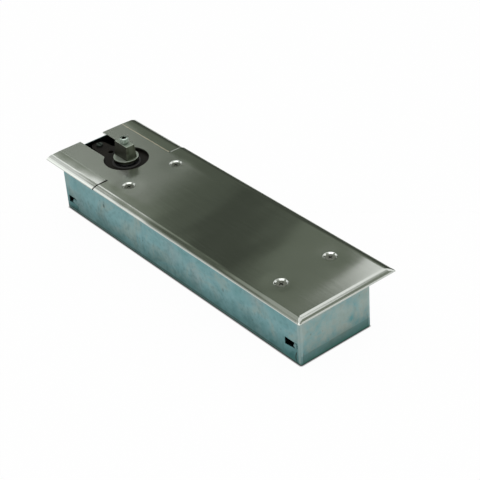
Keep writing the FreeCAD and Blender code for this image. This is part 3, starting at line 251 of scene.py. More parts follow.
# The side walls meet the end walls in a seam at each corner, and a narrow lap lies on the end wall.
lap = 3 * mm
lap_edge = box_high.y - lap
lap_edge_width = 0.5 * mm
low_down = where((height, 14 * mm, 9 * mm))
colour = stain_and_shade(colour, where(on_end, (across, lap_edge, lap_edge + 0.3 * mm)), 0.35, "#9DB4B3")
folded_round = where(on_side, (along, box_high.x - 3.4 * mm, box_high.x - 2.6 * mm))
colour = stain_and_shade(colour, folded_round, 0.4, "#A3B3AF")
colour = stain_and_shade(colour, where(on_end, near(across, lap_edge, lap_edge_width), low_down), 0.8, "#26332F")
colour = stain_and_shade(colour, where(on_side, on_end), 0.55, "#3D6470")

# Cement and grime cling to the end walls below the line of the box floor.
floor_line = add(tree, "Math", {0: ragged, 1: 3 * mm, 2: 8.5 * mm}, operation="MULTIPLY_ADD").outputs[0]
below_floor = add(tree, "Math", {0: height, 1: floor_line}, operation="LESS_THAN").outputs[0]
cement = where(on_end, below_floor, (across, lap_edge, lap_edge - lap_edge_width))
colour = stain_and_shade(colour, cement, 0.5, "#54665C")

# Each slot tears a curved crease down to the foot from its right end, drawn in painted shade.
slot_foot = 13 * mm
crease_width = 0.9 * mm
crease_curve = 0.07 / mm
outer_wall = where((across, box_high.y - 4.5 * mm, box_high.y - 4 * mm))
under_slot = where((height, slot_foot, slot_foot - 0.5 * mm))
for crease_x, lowest, strength in ((282.0 * mm, 7 * mm, 0.9), (-37.5 * mm, 4 * mm, 0.35)):
    rise = add(tree, "Math", {0: height, 1: lowest}, operation="SUBTRACT").outputs[0]
    rise_squared = add(tree, "Math", {0: rise, 1: rise}, operation="MULTIPLY").outputs[0]
    bow = add(tree, "Math", {0: rise_squared, 1: crease_curve, 2: crease_x},
              operation="MULTIPLY_ADD").outputs[0]
    away = add(tree, "Math", {0: along, 1: bow}, operation="SUBTRACT").outputs[0]
    # Painted shade along each crease.
    crease = where(outer_wall, near(away, 0.0, crease_width), under_slot)
    colour = stain_and_shade(colour, crease, strength, "#26332B")

# Painted shade darkens the bend at the foot, and a dark line runs along the side just above it.
colour = stain_and_shade(colour, where((height, 3.4 * mm, 2.6 * mm)), 0.4, "#386455")
foot_line = 3.1 * mm
foot_line_width = 0.9 * mm
foot_line_end = box_high.x - 21 * mm
on_foot_line = where(on_side, near(height, foot_line, foot_line_width),
                     (along, foot_line_end, foot_line_end - 6 * mm))
colour = stain_and_shade(colour, on_foot_line, 0.75, "#22322F")
# Painted shade at the very foot.
colour = stain_and_shade(colour, where((height, 1.7 * mm, 1.0 * mm)), 0.5, "#2C5A50")

# Inside, the sheet is painted nearly black as painted shade: the covered box is dark inside.
middle_x = (box_low.x + box_high.x) / 2
half_length = (box_high.x - box_low.x) / 2
from_middle = add(tree, "Math", {0: along, 1: middle_x}, operation="SUBTRACT").outputs[0]
from_middle = add(tree, "Math", {0: from_middle}, operation="ABSOLUTE").outputs[0]
inside = where((from_middle, half_length - 0.6 * mm, half_length - 1.0 * mm),
               (axes.outputs["Y"], box_high.y - 0.6 * mm, box_high.y - 1.0 * mm),
               (axes.outputs["Y"], -32 * mm, -30 * mm), (height, 0.4 * mm, 0.9 * mm))
colour = stain_and_shade(colour, inside, 0.95, "#181B19")

# The zinc has a fine grain, drawn over a millimetre wide so that it shows, and the rolled sheet
# under it is a little wavy.
dull = add(tree, "MapRange", {"Value": clouds, "From Min": 0.3, "From Max": 0.7, "To Min": 0.36,
                              "To Max": 0.5}).outputs["Result"]
grain_size = 1.4 * mm
grain = add(tree, "TexNoise", {"Vector": place, "Scale": 1 / grain_size, "Detail": 3.0}).outputs["Fac"]
wave_length = 45 * mm
rolled = add(tree, "TexNoise", {"Vector": place, "Scale": 1 / wave_length, "Detail": 1.0}).outputs["Fac"]
wavy = add(tree, "Bump", {"Height": rolled, "Strength": 1.0, "Distance": 0.35 * mm})
bump = add(tree, "Bump", {"Height": grain, "Strength": 0.35, "Distance": 0.05 * mm,
                          "Normal": wavy.outputs["Normal"]})
shader.inputs["Metallic"].default_value = 1.0
feed(tree, shader, Base_Color=colour, Roughness=dull, Normal=bump.outputs["Normal"])
refine("cement_box", "frame", zinc_sheet, pressed=True)
dress(zinc_sheet, "box_weld_nuts")


def torn_corner(name, corners):
    """A corner of sheet that the shear folded in behind a slot; a corner is X, height, depth in mm."""
    steps = 8
    thickness = 0.8 * mm
    bulge = 0.6
    leaf = bmesh.new()
    rows = []
    for i in range(steps + 1):
        u = i / steps
        row = []
        for j in range(steps + 1):
            v = j / steps
            weights = ((1 - u) * (1 - v), u * (1 - v), u * v, (1 - u) * v)
            x, z, depth = (sum(w * corner[axis] for w, corner in zip(weights, corners))
                           for axis in range(3))
            depth -= bulge * math.sin(math.pi * u) * math.sin(math.pi * v)
            row.append(leaf.verts.new((x * mm, box_low.y + depth * mm, z * mm)))
        rows.append(row)
    for i in range(steps):
        for j in range(steps):
            leaf.faces.new((rows[i][j], rows[i + 1][j], rows[i + 1][j + 1], rows[i][j + 1]))
    bmesh.ops.recalc_face_normals(leaf, faces=leaf.faces)
    bmesh.ops.solidify(leaf, geom=leaf.faces[:], thickness=thickness)
    for face in leaf.faces:
        face.smooth = True
    mesh = bpy.data.meshes.new(name)
    leaf.to_mesh(mesh)
    leaf.free()
    mesh.materials.append(zinc_sheet)
    piece = bpy.data.objects.new(name, mesh)
    scene.collection.objects.link(piece)
    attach(piece, "frame")


torn_corner("near_slot_torn_corner", ((-46.5, 8.8, 1.0), (-43.4, 13.4, 1.2),
                                      (-34.5, 14.4, 0.3), (-34.5, 8.8, 0.3)))
torn_corner("far_slot_torn_corner", ((279.7, 16.2, 1.2), (282.2, 20.6, 0.8),
                                     (284.5, 20.6, 0.3), (284.5, 15.6, 0.3)))


# Closer housing
# The body is an iron casting, stoved black. The mould leaves a grain of about a millimetre on it,
# and the oily film on the lacquer gives a soft brownish sheen.

stoved_iron, tree, shader = finish("black_stoved_cast_iron")
place = add(tree, "TexCoord", {}).outputs["Object"]
sand = add(tree, "TexNoise", {"Vector": place, "Scale": 1 / (1.1 * mm), "Detail": 5.0,
                              "Roughness": 0.6}).outputs["Fac"]
lumps = add(tree, "TexNoise", {"Vector": place, "Scale": 1 / (9 * mm), "Detail": 2.0}).outputs["Fac"]
film = where((lumps, 0.35, 0.7))
colour = add(tree, "Mix", {0: film, 6: shade("#0D0B08"), 7: shade("#17140F")},
             data_type="RGBA").outputs[2]
sheen = add(tree, "MapRange", {"Value": sand, "From Min": 0.3, "From Max": 0.7, "To Min": 0.42,
                               "To Max": 0.6}).outputs["Result"]
lumpy = add(tree, "Bump", {"Height": lumps, "Strength": 1.0, "Distance": 0.25 * mm})
bump = add(tree, "Bump", {"Height": sand, "Strength": 0.8, "Distance": 0.12 * mm,
                          "Normal": lumpy.outputs["Normal"]})
shader.inputs["IOR"].default_value = 1.5
shader.inputs["Specular IOR Level"].default_value = 0.16
feed(tree, shader, Base_Color=colour, Roughness=sheen, Normal=bump.outputs["Normal"])
refine("closer_housing", "frame", stoved_iron)


# Plugs of the housing
# Turned steel, black phosphated and oiled: the two plugs that close the cam chamber and the
# cylinder, and the nut plate behind the spring. The coat's crystals give an even dark grain, and
# are drawn coarser than they are, so that they show.

phosphated, tree, shader = finish("phosphated_turned_steel")
place = add(tree, "TexCoord", {}).outputs["Object"]
crystals = add(tree, "TexNoise", {"Vector": place, "Scale": 1 / (0.8 * mm), "Detail": 4.0}).outputs["Fac"]
colour = add(tree, "Mix", {0: crystals, 6: shade("#232426"), 7: shade("#3A3B3C")},
             data_type="RGBA").outputs[2]
dull = add(tree, "MapRange", {"Value": crystals, "To Min": 0.4, "To Max": 0.62}).outputs["Result"]
bump = add(tree, "Bump", {"Height": crystals, "Strength": 0.3, "Distance": 0.05 * mm})
shader.inputs["Metallic"].default_value = 1.0
feed(tree, shader, Base_Color=colour, Roughness=dull, Normal=bump.outputs["Normal"])
dress(phosphated, "bottom_plug", "end_plug", "spring_seat")


# Seals
# Nitrile rubber, moulded: the lip seal round the spindle and every O-ring. It is matt black with
# a greyish bloom.

nitrile, tree, shader = finish("moulded_nitrile_rubber")
place = add(tree, "TexCoord", {}).outputs["Object"]
bloom = add(tree, "TexNoise", {"Vector": place, "Scale": 1 / (3 * mm), "Detail": 3.0}).outputs["Fac"]
colour = add(tree, "Mix", {0: bloom, 6: shade("#151514"), 7: shade("#292826")},
             data_type="RGBA").outputs[2]
dull = add(tree, "MapRange", {"Value": bloom, "To Min": 0.45, "To Max": 0.7}).outputs["Result"]
bump = add(tree, "Bump", {"Height": bloom, "Strength": 0.2, "Distance": 0.05 * mm})
shader.inputs["IOR"].default_value = 1.52
feed(tree, shader, Base_Color=colour, Roughness=dull, Normal=bump.outputs["Normal"])
dress(nitrile, "shaft_seal", "bottom_plug_o_ring", "end_plug_o_ring", "adjuster_o_ring",
      "closing_speed_valve_o_ring", "latching_speed_valve_o_ring")


# Spindle shaft, bearings, cam, roller and piston
# Hardened bearing steel, ground to size. Grinding leaves short bright lines, which are drawn half
# a millimetre apart, coarser than they are, so that they show.

ground_steel, tree, shader = finish("hardened_ground_steel")
place = add(tree, "TexCoord", {}).outputs["Object"]
line_length = 4 * mm
line_width = 0.5 * mm
lines_at = add(tree, "Mapping", {"Vector": place,
                                 "Scale": (1 / line_length, 1 / line_length, 1 / line_width)})
lines = add(tree, "TexNoise", {"Vector": lines_at.outputs["Vector"], "Scale": 1.0, "Detail": 3.0})
colour = add(tree, "Mix", {0: lines.outputs["Fac"], 6: shade("#8E9296"), 7: shade("#B4B6B8")},
             data_type="RGBA").outputs[2]
dull = add(tree, "MapRange", {"Value": lines.outputs["Fac"], "To Min": 0.16, "To Max": 0.34})
bump = add(tree, "Bump", {"Height": lines.outputs["Fac"], "Strength": 0.3, "Distance": 0.03 * mm})
shader.inputs["Metallic"].default_value = 1.0
feed(tree, shader, Base_Color=colour, Roughness=dull.outputs["Result"], Normal=bump.outputs["Normal"])
dress(ground_steel, "spindle_shaft", "upper_needle_bearing", "lower_needle_bearing", "thrust_washer",
      "cam_disc", "cam_circlip", "cam_roller", "roller_pin", "piston", "piston_ring", "check_ball",
      "check_ball_retainer")


# Closing spring
# Oil-hardened spring wire, coiled cold and shot peened. The peening leaves a dull dark satin, with
# dimples that are drawn larger than they are, so that they show.

spring_wire, tree, shader = finish("shot_peened_spring_wire")
place = add(tree, "TexCoord", {}).outputs["Object"]
peening = add(tree, "TexVoronoi", {"Vector": place, "Scale": 1 / (0.9 * mm)}).outputs["Distance"]
colour = add(tree, "Mix", {0: peening, 6: shade("#2E3134"), 7: shade("#55595C")},
             data_type="RGBA").outputs[2]
dull = add(tree, "MapRange", {"Value": peening, "To Min": 0.35, "To Max": 0.55}).outputs["Result"]
bump = add(tree, "Bump", {"Height": peening, "Strength": 0.4, "Distance": 0.06 * mm})
shader.inputs["Metallic"].default_value = 1.0
feed(tree, shader, Base_Color=colour, Roughness=dull, Normal=bump.outputs["Normal"])
dress(spring_wire, "closing_spring")


# Set screws, filler screw and valves
# Small steel screws, zinc plated, and the regulating valves and the filler washer of free-cutting
# brass. The plating is bright with a bluish cast, the brass a dull yellow.

bright_zinc, tree, shader = finish("bright_zinc_plated_steel")
place = add(tree, "TexCoord", {}).outputs["Object"]
smear = add(tree, "TexNoise", {"Vector": place, "Scale": 1 / (2.5 * mm), "Detail": 4.0}).outputs["Fac"]
colour = add(tree, "Mix", {0: smear, 6: shade("#8FA8A4"), 7: shade("#B9C9C4")},
             data_type="RGBA").outputs[2]
dull = add(tree, "MapRange", {"Value": smear, "To Min": 0.18, "To Max": 0.38}).outputs["Result"]
bump = add(tree, "Bump", {"Height": smear, "Strength": 0.15, "Distance": 0.05 * mm})
shader.inputs["Metallic"].default_value = 1.0
feed(tree, shader, Base_Color=colour, Roughness=dull, Normal=bump.outputs["Normal"])
dress(bright_zinc, "levelling_screws", "oil_filler_screw", "force_adjusting_screw")

brass, tree, shader = finish("turned_brass")
place = add(tree, "TexCoord", {}).outputs["Object"]
tarnish = add(tree, "TexNoise", {"Vector": place, "Scale": 1 / (2 * mm), "Detail": 4.0}).outputs["Fac"]
colour = add(tree, "Mix", {0: tarnish, 6: shade("#8C6F3A"), 7: shade("#B89A5B")},
             data_type="RGBA").outputs[2]
dull = add(tree, "MapRange", {"Value": tarnish, "To Min": 0.25, "To Max": 0.45}).outputs["Result"]
bump = add(tree, "Bump", {"Height": tarnish, "Strength": 0.2, "Distance": 0.03 * mm})
shader.inputs["Metallic"].default_value = 1.0
feed(tree, shader, Base_Color=colour, Roughness=dull, Normal=bump.outputs["Normal"])
dress(brass, "closing_speed_valve", "latching_speed_valve", "filler_seal_washer")


# Holding screws
# Pan-head screws of zinc-plated steel that hold the housing down in its box. The zinc has gone
# grey and dull with a thin crust.

grey_zinc, tree, shader = finish("weathered_zinc_plated_steel")
place = add(tree, "TexCoord", {}).outputs["Object"]
crust = add(tree, "TexNoise", {"Vector": place, "Scale": 1 / (1.8 * mm), "Detail": 4.0}).outputs["Fac"]
colour = add(tree, "Mix", {0: crust, 6: shade("#353C38"), 7: shade("#535C56")},
             data_type="RGBA").outputs[2]
dull = add(tree, "MapRange", {"Value": crust, "To Min": 0.42, "To Max": 0.68}).outputs["Result"]
bump = add(tree, "Bump", {"Height": crust, "Strength": 0.35, "Distance": 0.06 * mm})
shader.inputs["Metallic"].default_value = 1.0
feed(tree, shader, Base_Color=colour, Roughness=dull, Normal=bump.outputs["Normal"])
refine("holding_screws", "frame", grey_zinc)


# Spindle insert
# The exchangeable collar and tapered block, milled from steel and left oiled. The cutter's level
# marks are drawn about a millimetre apart, so that they show. Oil leaves darker patches, painted
# shade darkens the flank that faces the front, and painted light makes the level tops pale.

milled_steel, tree, shader = finish("oiled_milled_steel")
place = add(tree, "TexCoord", {}).outputs["Object"]
mark_length = 9 * mm
mark_width = 0.9 * mm
marks_at = add(tree, "Mapping", {"Vector": place,
                                 "Scale": (1 / mark_length, 1 / mark_length, 1 / mark_width)})
marks = add(tree, "TexNoise", {"Vector": marks_at.outputs["Vector"], "Scale": 1.0, "Detail": 3.0})
oil = add(tree, "TexNoise", {"Vector": place, "Scale": 1 / (6 * mm), "Detail": 4.0}).outputs["Fac"]
oil = add(tree, "MapRange", {"Value": oil, "From Min": 0.35, "From Max": 0.65}).outputs["Result"]
colour = add(tree, "Mix", {0: oil, 6: shade("#555A4C"), 7: shade("#767B6D")}, data_type="RGBA").outputs[2]
faces = add(tree, "SeparateXYZ", {"Vector": add(tree, "TexCoord", {}).outputs["Normal"]})
# Painted shade darkens the flank that faces the front.
front_flank_shade = add(tree, "MapRange", {"Value": faces.outputs["Y"], "From Min": -0.75, "From Max": -0.95,
                                  "To Max": 0.88}).outputs["Result"]
colour = add(tree, "Mix", {0: front_flank_shade, 6: colour, 7: shade("#2E2C25")}, data_type="RGBA").outputs[2]
# Painted light makes the level tops pale.
level_top_light = add(tree, "MapRange", {"Value": faces.outputs["Z"], "From Min": 0.6, "From Max": 0.95,
                                    "To Max": 0.85}).outputs["Result"]
colour = add(tree, "Mix", {0: level_top_light, 6: colour, 7: shade("#C3CDC2")}, data_type="RGBA").outputs[2]
dull = add(tree, "MapRange", {"Value": marks.outputs["Fac"], "To Min": 0.28, "To Max": 0.46})
bump = add(tree, "Bump", {"Height": marks.outputs["Fac"], "Strength": 0.35, "Distance": 0.06 * mm})
shader.inputs["Metallic"].default_value = 1.0
feed(tree, shader, Base_Color=colour, Roughness=dull.outputs["Result"], Normal=bump.outputs["Normal"])
refine("spindle_insert", "spindle", milled_steel)


# Spindle cap screw
# A hexagon-socket cap screw, zinc plated. Its head is knurled round the side. Painted shade darkens
# the socket, the valleys of the knurl and the foot of the head.

shade_painted_zinc, tree, shader = finish("greasy_zinc_plated_cap_screw")
place = add(tree, "TexCoord", {}).outputs["Object"]
axes = add(tree, "SeparateXYZ", {"Vector": place})
cap_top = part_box("spindle_cap_screw")[1].z
head_height = 5 * mm
head_radius = 4.25 * mm
socket_radius = 2.4 * mm
rim_width = 1.7 * mm
teeth = 40.0
from_axis = add(tree, "CombineXYZ", {"X": axes.outputs["X"], "Y": axes.outputs["Y"]}).outputs["Vector"]
from_axis = add(tree, "VectorMath", {0: from_axis}, operation="LENGTH").outputs["Value"]
smear = add(tree, "TexNoise", {"Vector": place, "Scale": 1 / (2 * mm), "Detail": 4.0}).outputs["Fac"]
colour = add(tree, "Mix", {0: smear, 6: shade("#A3B1A9"), 7: shade("#CFDCD3")}, data_type="RGBA").outputs[2]

# The knurl runs upright round the side of the head.
turn = add(tree, "Math", {0: axes.outputs["Y"], 1: axes.outputs["X"]}, operation="ARCTAN2").outputs[0]
turn = add(tree, "Math", {0: turn, 1: teeth}, operation="MULTIPLY").outputs[0]
knurl = add(tree, "Math", {0: turn}, operation="SINE").outputs[0]
on_flank = where((from_axis, head_radius - 0.3 * mm, head_radius - 0.1 * mm))
ribs = add(tree, "Math", {0: knurl, 1: on_flank}, operation="MULTIPLY").outputs[0]
knurled = add(tree, "Bump", {"Height": ribs, "Strength": 0.6, "Distance": 0.08 * mm})

# Painted shade darkens the valleys between its teeth, the foot of the head and the socket.
under_head = where((axes.outputs["Z"], cap_top - 3.2 * mm, cap_top - head_height))
in_socket = where((axes.outputs["Z"], cap_top - 0.1 * mm, cap_top - 0.4 * mm),
                  (from_axis, head_radius - 1.0 * mm, socket_radius + 0.2 * mm))
colour = stain_and_shade(colour, where(on_flank, (knurl, 0.3, -0.5)), 0.4, "#2B2F2A")
colour = stain_and_shade(colour, where(on_flank, under_head), 0.8, "#1C1D19")
colour = stain_and_shade(colour, in_socket, 1.0, "#0E0E0C")

# The rim of the head is rounded over.
dull = add(tree, "MapRange", {"Value": smear, "To Min": 0.2, "To Max": 0.36}).outputs["Result"]
to_rim = where((from_axis, head_radius - rim_width, head_radius))
on_top = where((axes.outputs["Z"], cap_top - 0.06 * mm, cap_top - 0.03 * mm))
drop = add(tree, "Math", {0: to_rim, 1: to_rim}, operation="MULTIPLY").outputs[0]
drop = add(tree, "Math", {0: drop, 1: -1.0}, operation="MULTIPLY").outputs[0]
drop = add(tree, "Math", {0: drop, 1: on_top}, operation="MULTIPLY").outputs[0]
bump = add(tree, "Bump", {"Height": drop, "Strength": 1.0, "Distance": 0.8 * mm,
                          "Normal": knurled.outputs["Normal"]})
shader.inputs["Metallic"].default_value = 1.0
feed(tree, shader, Base_Color=colour, Roughness=dull, Normal=bump.outputs["Normal"])
refine("spindle_cap_screw", "spindle", shade_painted_zinc, crease=30.0)


# Cover plate
# Stainless sheet, brushed along its length and pressed: a sloping border, four dished screw
# seats and two scored tabs. It mirrors the room softly, in bands where the sheet waves, and each
# scratch of the brushing is drawn wider than it is, so that it shows.

brushed_stainless, tree, shader = finish("brushed_stainless_sheet")
place = add(tree, "TexCoord", {}).outputs["Object"]
axes = add(tree, "SeparateXYZ", {"Vector": place})
from_centre = add(tree, "Math", {0: axes.outputs["Y"]}, operation="ABSOLUTE").outputs[0]
scratch_length = 40 * mm
scratch_width = 0.7 * mm
brush_at = add(tree, "Mapping", {"Vector": place,
                                 "Scale": (1 / scratch_length, 1 / scratch_width, 1 / scratch_width)})
brush = add(tree, "TexNoise", {"Vector": brush_at.outputs["Vector"], "Scale": 1.0, "Detail": 4.0})
colour = add(tree, "Mix", {0: brush.outputs["Fac"], 6: shade("#B5B9B3"), 7: shade("#C5C9C3")},
             data_type="RGBA").outputs[2]

# The front tab was sheared free, and painted shade makes its slit black. The scoring left a
# bright burr along the line of the back tab.
tab_end = 19.3 * mm
tab_line = 36 * mm
slit_width = 1.2 * mm
burr_width = 0.6 * mm
slit_shade = where(near(axes.outputs["X"], tab_end, slit_width), (axes.outputs["Y"], -35.4 * mm, -35.8 * mm))
colour = stain_and_shade(colour, slit_shade, 1.0, "#191A17")
on_tab = add(tree, "Math", {0: axes.outputs["X"], 1: tab_end}, operation="LESS_THAN").outputs[0]
colour = stain_and_shade(colour, where(near(axes.outputs["Y"], tab_line, burr_width), on_tab), 0.6, "#F2E6D4")

# The sheet is bright. Stains and scratches dull it slightly, and round the spindle shoes and
# cleaning have rubbed it duller.
stain_size = 38 * mm
stain = add(tree, "TexNoise", {"Vector": place, "Scale": 1 / stain_size, "Detail": 5.0}).outputs["Fac"]
rubbed = where((axes.outputs["X"], 95 * mm, 55 * mm), (from_centre, 38 * mm, 33 * mm))
dull = add(tree, "Math", {0: brush.outputs["Fac"], 1: 0.03, 2: 0.05}, operation="MULTIPLY_ADD").outputs[0]
dull = add(tree, "Math", {0: stain, 1: 0.04, 2: dull}, operation="MULTIPLY_ADD").outputs[0]
dull = add(tree, "Math", {0: rubbed, 1: 0.14, 2: dull}, operation="MULTIPLY_ADD").outputs[0]

# Each tab bends away little by little from its scored line to its ridge.
tab_width = 11.7 * mm
first_slope = 0.035
from_line = add(tree, "Math", {0: from_centre, 1: tab_line}, operation="SUBTRACT").outputs[0]
from_line = add(tree, "Math", {0: from_line, 1: 0.0}, operation="MAXIMUM").outputs[0]
from_line = add(tree, "Math", {0: from_line, 1: tab_width}, operation="MINIMUM").outputs[0]
eased = add(tree, "Math", {0: from_line, 1: -first_slope / (2 * tab_width), 2: first_slope},
            operation="MULTIPLY_ADD").outputs[0]
bent_down = add(tree, "Math", {0: from_line, 1: eased}, operation="MULTIPLY").outputs[0]
bent_down = add(tree, "Math", {0: bent_down, 1: on_tab}, operation="MULTIPLY").outputs[0]
curl = add(tree, "Bump", {"Height": bent_down, "Strength": 1.0, "Distance": 1.0})

# The rolled sheet waves, longest across the plate.
wave_along = 75 * mm
wave_across = 190 * mm
wave_at = add(tree, "Mapping", {"Vector": place, "Scale": (1 / wave_along, 1 / wave_across, 1.0)})
wave = add(tree, "TexNoise", {"Vector": wave_at.outputs["Vector"], "Scale": 1.0, "Detail": 1.5})
bent = add(tree, "Bump", {"Height": wave.outputs["Fac"], "Strength": 1.0, "Distance": 0.6 * mm,
                          "Normal": curl.outputs["Normal"]})

# The press draws the flat down a little for some way round each dish.
screws_low, screws_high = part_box("cover_screws")
screw_head = 4.4 * mm
screws_middle = (screws_low.x + screws_high.x) / 2
screws_along = (screws_high.x - screws_low.x) / 2 - screw_head
screws_across = (screws_high.y - screws_low.y) / 2 - screw_head
beyond = add(tree, "Math", {0: axes.outputs["X"], 1: screws_middle}, operation="SUBTRACT").outputs[0]
beyond = add(tree, "Math", {0: beyond}, operation="ABSOLUTE").outputs[0]
beyond = add(tree, "Math", {0: beyond, 1: screws_along}, operation="SUBTRACT").outputs[0]
beside = add(tree, "Math", {0: from_centre, 1: screws_across}, operation="SUBTRACT").outputs[0]
from_dish = add(tree, "CombineXYZ", {"X": beyond, "Y": beside}).outputs["Vector"]
from_dish = add(tree, "VectorMath", {0: from_dish}, operation="LENGTH").outputs["Value"]
drawn = add(tree, "MapRange", {"Value": from_dish, "From Min": 2 * mm, "From Max": 20 * mm},
            interpolation_type="SMOOTHERSTEP").outputs["Result"]
dipped = add(tree, "Bump", {"Height": drawn, "Strength": 1.0, "Distance": 0.12 * mm,
                            "Normal": bent.outputs["Normal"]})

# The ridge of the border is rounded a little past its tightest part, on both sides, and so is the
# mitre that runs out from it at each far corner.
plate_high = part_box("cover_plate")[1]
border = 4.8 * mm
past_end = add(tree, "Math", {0: axes.outputs["X"], 1: plate_high.x - border},
               operation="SUBTRACT").outputs[0]
past_side = add(tree, "Math", {0: from_centre, 1: plate_high.y - border}, operation="SUBTRACT").outputs[0]
outward = add(tree, "Math", {0: past_end, 1: past_side}, operation="MAXIMUM").outputs[0]
off_ridge = add(tree, "Math", {0: outward}, operation="ABSOLUTE").outputs[0]
inward = add(tree, "Math", {0: outward, 1: -3.0}, operation="MULTIPLY").outputs[0]
inward = add(tree, "Math", {0: inward, 1: 0.0}, operation="MAXIMUM").outputs[0]
off_mitre = add(tree, "Math", {0: past_end, 1: past_side}, operation="SUBTRACT").outputs[0]
off_mitre = add(tree, "Math", {0: off_mitre}, operation="ABSOLUTE").outputs[0]
off_mitre = add(tree, "Math", {0: off_mitre, 1: 0.7, 2: inward}, operation="MULTIPLY_ADD").outputs[0]
off_ridge = add(tree, "Math", {0: off_ridge, 1: off_mitre}, operation="MINIMUM").outputs[0]
rounded = add(tree, "MapRange", {"Value": off_ridge, "From Max": 2.4 * mm},
              interpolation_type="SMOOTHSTEP").outputs["Result"]
eased_ridge = add(tree, "Bump", {"Height": rounded, "Strength": 1.0, "Distance": 0.09 * mm,
                                 "Normal": dipped.outputs["Normal"]})

# The sheared edge is rolled over a little.
rolled_width = 2.5 * mm
rolled = where((outward, border - rolled_width, border))
rolled = add(tree, "Math", {0: rolled, 1: rolled}, operation="MULTIPLY").outputs[0]
rolled = add(tree, "Math", {0: rolled, 1: -1.0}, operation="MULTIPLY").outputs[0]
rolled_edge = add(tree, "Bump", {"Height": rolled, "Strength": 1.0, "Distance": 0.15 * mm,
                                 "Normal": eased_ridge.outputs["Normal"]})
bump = add(tree, "Bump", {"Height": brush.outputs["Fac"], "Strength": 0.12, "Distance": 0.02 * mm,
                          "Normal": rolled_edge.outputs["Normal"]})

# The brushing stretches each highlight across itself, so the shader needs its direction, which
# the shell keeps as a set of coordinates.
shader.inputs["Metallic"].default_value = 1.0
shader.inputs["Anisotropic"].default_value = 0.6
grain_line = add(tree, "Tangent", {}, direction_type="UV_MAP", uv_map="brushing").outputs["Tangent"]
feed(tree, shader, Base_Color=colour, Roughness=dull, Normal=bump.outputs["Normal"], Tangent=grain_line)
plate = refine("cover_plate", "frame", brushed_stainless, crease=20.0)
brushing = plate.data.uv_layers.new(name="brushing")
for loop in plate.data.loops:
    corner = plate.data.vertices[loop.vertex_index].co
    brushing.data[loop.index].uv = (corner.y, corner.x)


# Cover screws
# Countersunk machine screws of stainless steel with a cross recess, tumbled after heading, so
# they are greyer and duller than the plate. Painted shade darkens the crosses.

tumbled_stainless, tree, shader = finish("tumbled_stainless_screw")
place = add(tree, "TexCoord", {}).outputs["Object"]
dents = add(tree, "TexNoise", {"Vector": place, "Scale": 1 / (1.2 * mm), "Detail": 3.0}).outputs["Fac"]
colour = add(tree, "Mix", {0: dents, 6: shade("#666A60"), 7: shade("#8E9187")},
             data_type="RGBA").outputs[2]
screw_height = add(tree, "SeparateXYZ", {"Vector": place}).outputs["Z"]
# Painted shade in the cross recesses.
recess_shade = where((screw_height, screws_high.z - 0.1 * mm, screws_high.z - 0.3 * mm))
colour = add(tree, "Mix", {0: recess_shade, 6: colour, 7: shade("#2A2B27")}, data_type="RGBA").outputs[2]
dull = add(tree, "MapRange", {"Value": dents, "To Min": 0.25, "To Max": 0.42}).outputs["Result"]
bump = add(tree, "Bump", {"Height": dents, "Strength": 0.25, "Distance": 0.04 * mm})
shader.inputs["Metallic"].default_value = 1.0
feed(tree, shader, Base_Color=colour, Roughness=dull, Normal=bump.outputs["Normal"])
refine("cover_screws", "frame", tumbled_stainless)


# Studio
# A white sweep under the object, in a grey room with bright windows. The camera and mirror-like
# surfaces see the sweep as white, with the object's shadow left on it.

sweep, tree, shader = finish("white_sweep")
tree.nodes.remove(shader)
pure_white = (1.0, 1.0, 1.0, 1.0)
ray = add(tree, "LightPath", {})
seen = add(tree, "Math", {0: ray.outputs["Is Camera Ray"], 1: ray.outputs["Is Glossy Ray"]},
           operation="MAXIMUM").outputs[0]
seen = add(tree, "Math", {0: seen, 1: ray.outputs["Is Transmission Ray"]}, operation="MAXIMUM").outputs[0]
# Right at the object's foot the paper is dark, where next to no light reaches it.
contact_width = 1.6 * mm
contact = add(tree, "AmbientOcclusion", {"Distance": contact_width}, samples=8).outputs["AO"]
contact = add(tree, "Math", {0: contact, 1: 3.0}, operation="POWER").outputs[0]
white = add(tree, "Emission", {"Color": pure_white, "Strength": contact}).outputs[0]
paper = add(tree, "BsdfDiffuse", {"Color": (0.8, 0.8, 0.8, 1.0)}).outputs[0]
lit = add(tree, "MixShader", {0: 0.97, 1: paper, 2: white}).outputs[0]
lit = add(tree, "MixShader", {0: seen, 1: paper, 2: lit}).outputs[0]
tree.links.new(lit, tree.nodes["Material Output"].inputs["Surface"])
reach = 30.0
floor_mesh = bpy.data.meshes.new("sweep")
floor_mesh.from_pydata([(-reach, -reach, 0), (reach, -reach, 0), (reach, reach, 0), (-reach, reach, 0)],
                       [], [(0, 1, 2, 3)])
floor_mesh.materials.append(sweep)
floor = bpy.data.objects.new("sweep", floor_mesh)
scene.collection.objects.link(floor)

scene.view_settings.view_transform = "Standard"
world = bpy.data.worlds.new("grey_room")
world.use_nodes = True
scene.world = world
tree = world.node_tree
background = tree.nodes["Background"]
look = add(tree, "TexCoord", {}).outputs["Generated"]
axes = add(tree, "SeparateXYZ", {"Vector": look})
# The azimuth of a direction runs from 0 at +X over 90 degrees at +Y, and its elevation up from 0.
turned = add(tree, "Math", {0: axes.outputs["Y"], 1: -1.0}, operation="MULTIPLY").outputs[0]
backed = add(tree, "Math", {0: axes.outputs["X"], 1: -1.0}, operation="MULTIPLY").outputs[0]
azimuth = add(tree, "Math", {0: turned, 1: backed}, operation="ARCTAN2").outputs[0]
azimuth = add(tree, "Math", {0: azimuth, 1: math.pi}, operation="ADD").outputs[0]
elevation = add(tree, "Math", {0: axes.outputs["Z"]}, operation="ARCSINE").outputs[0]
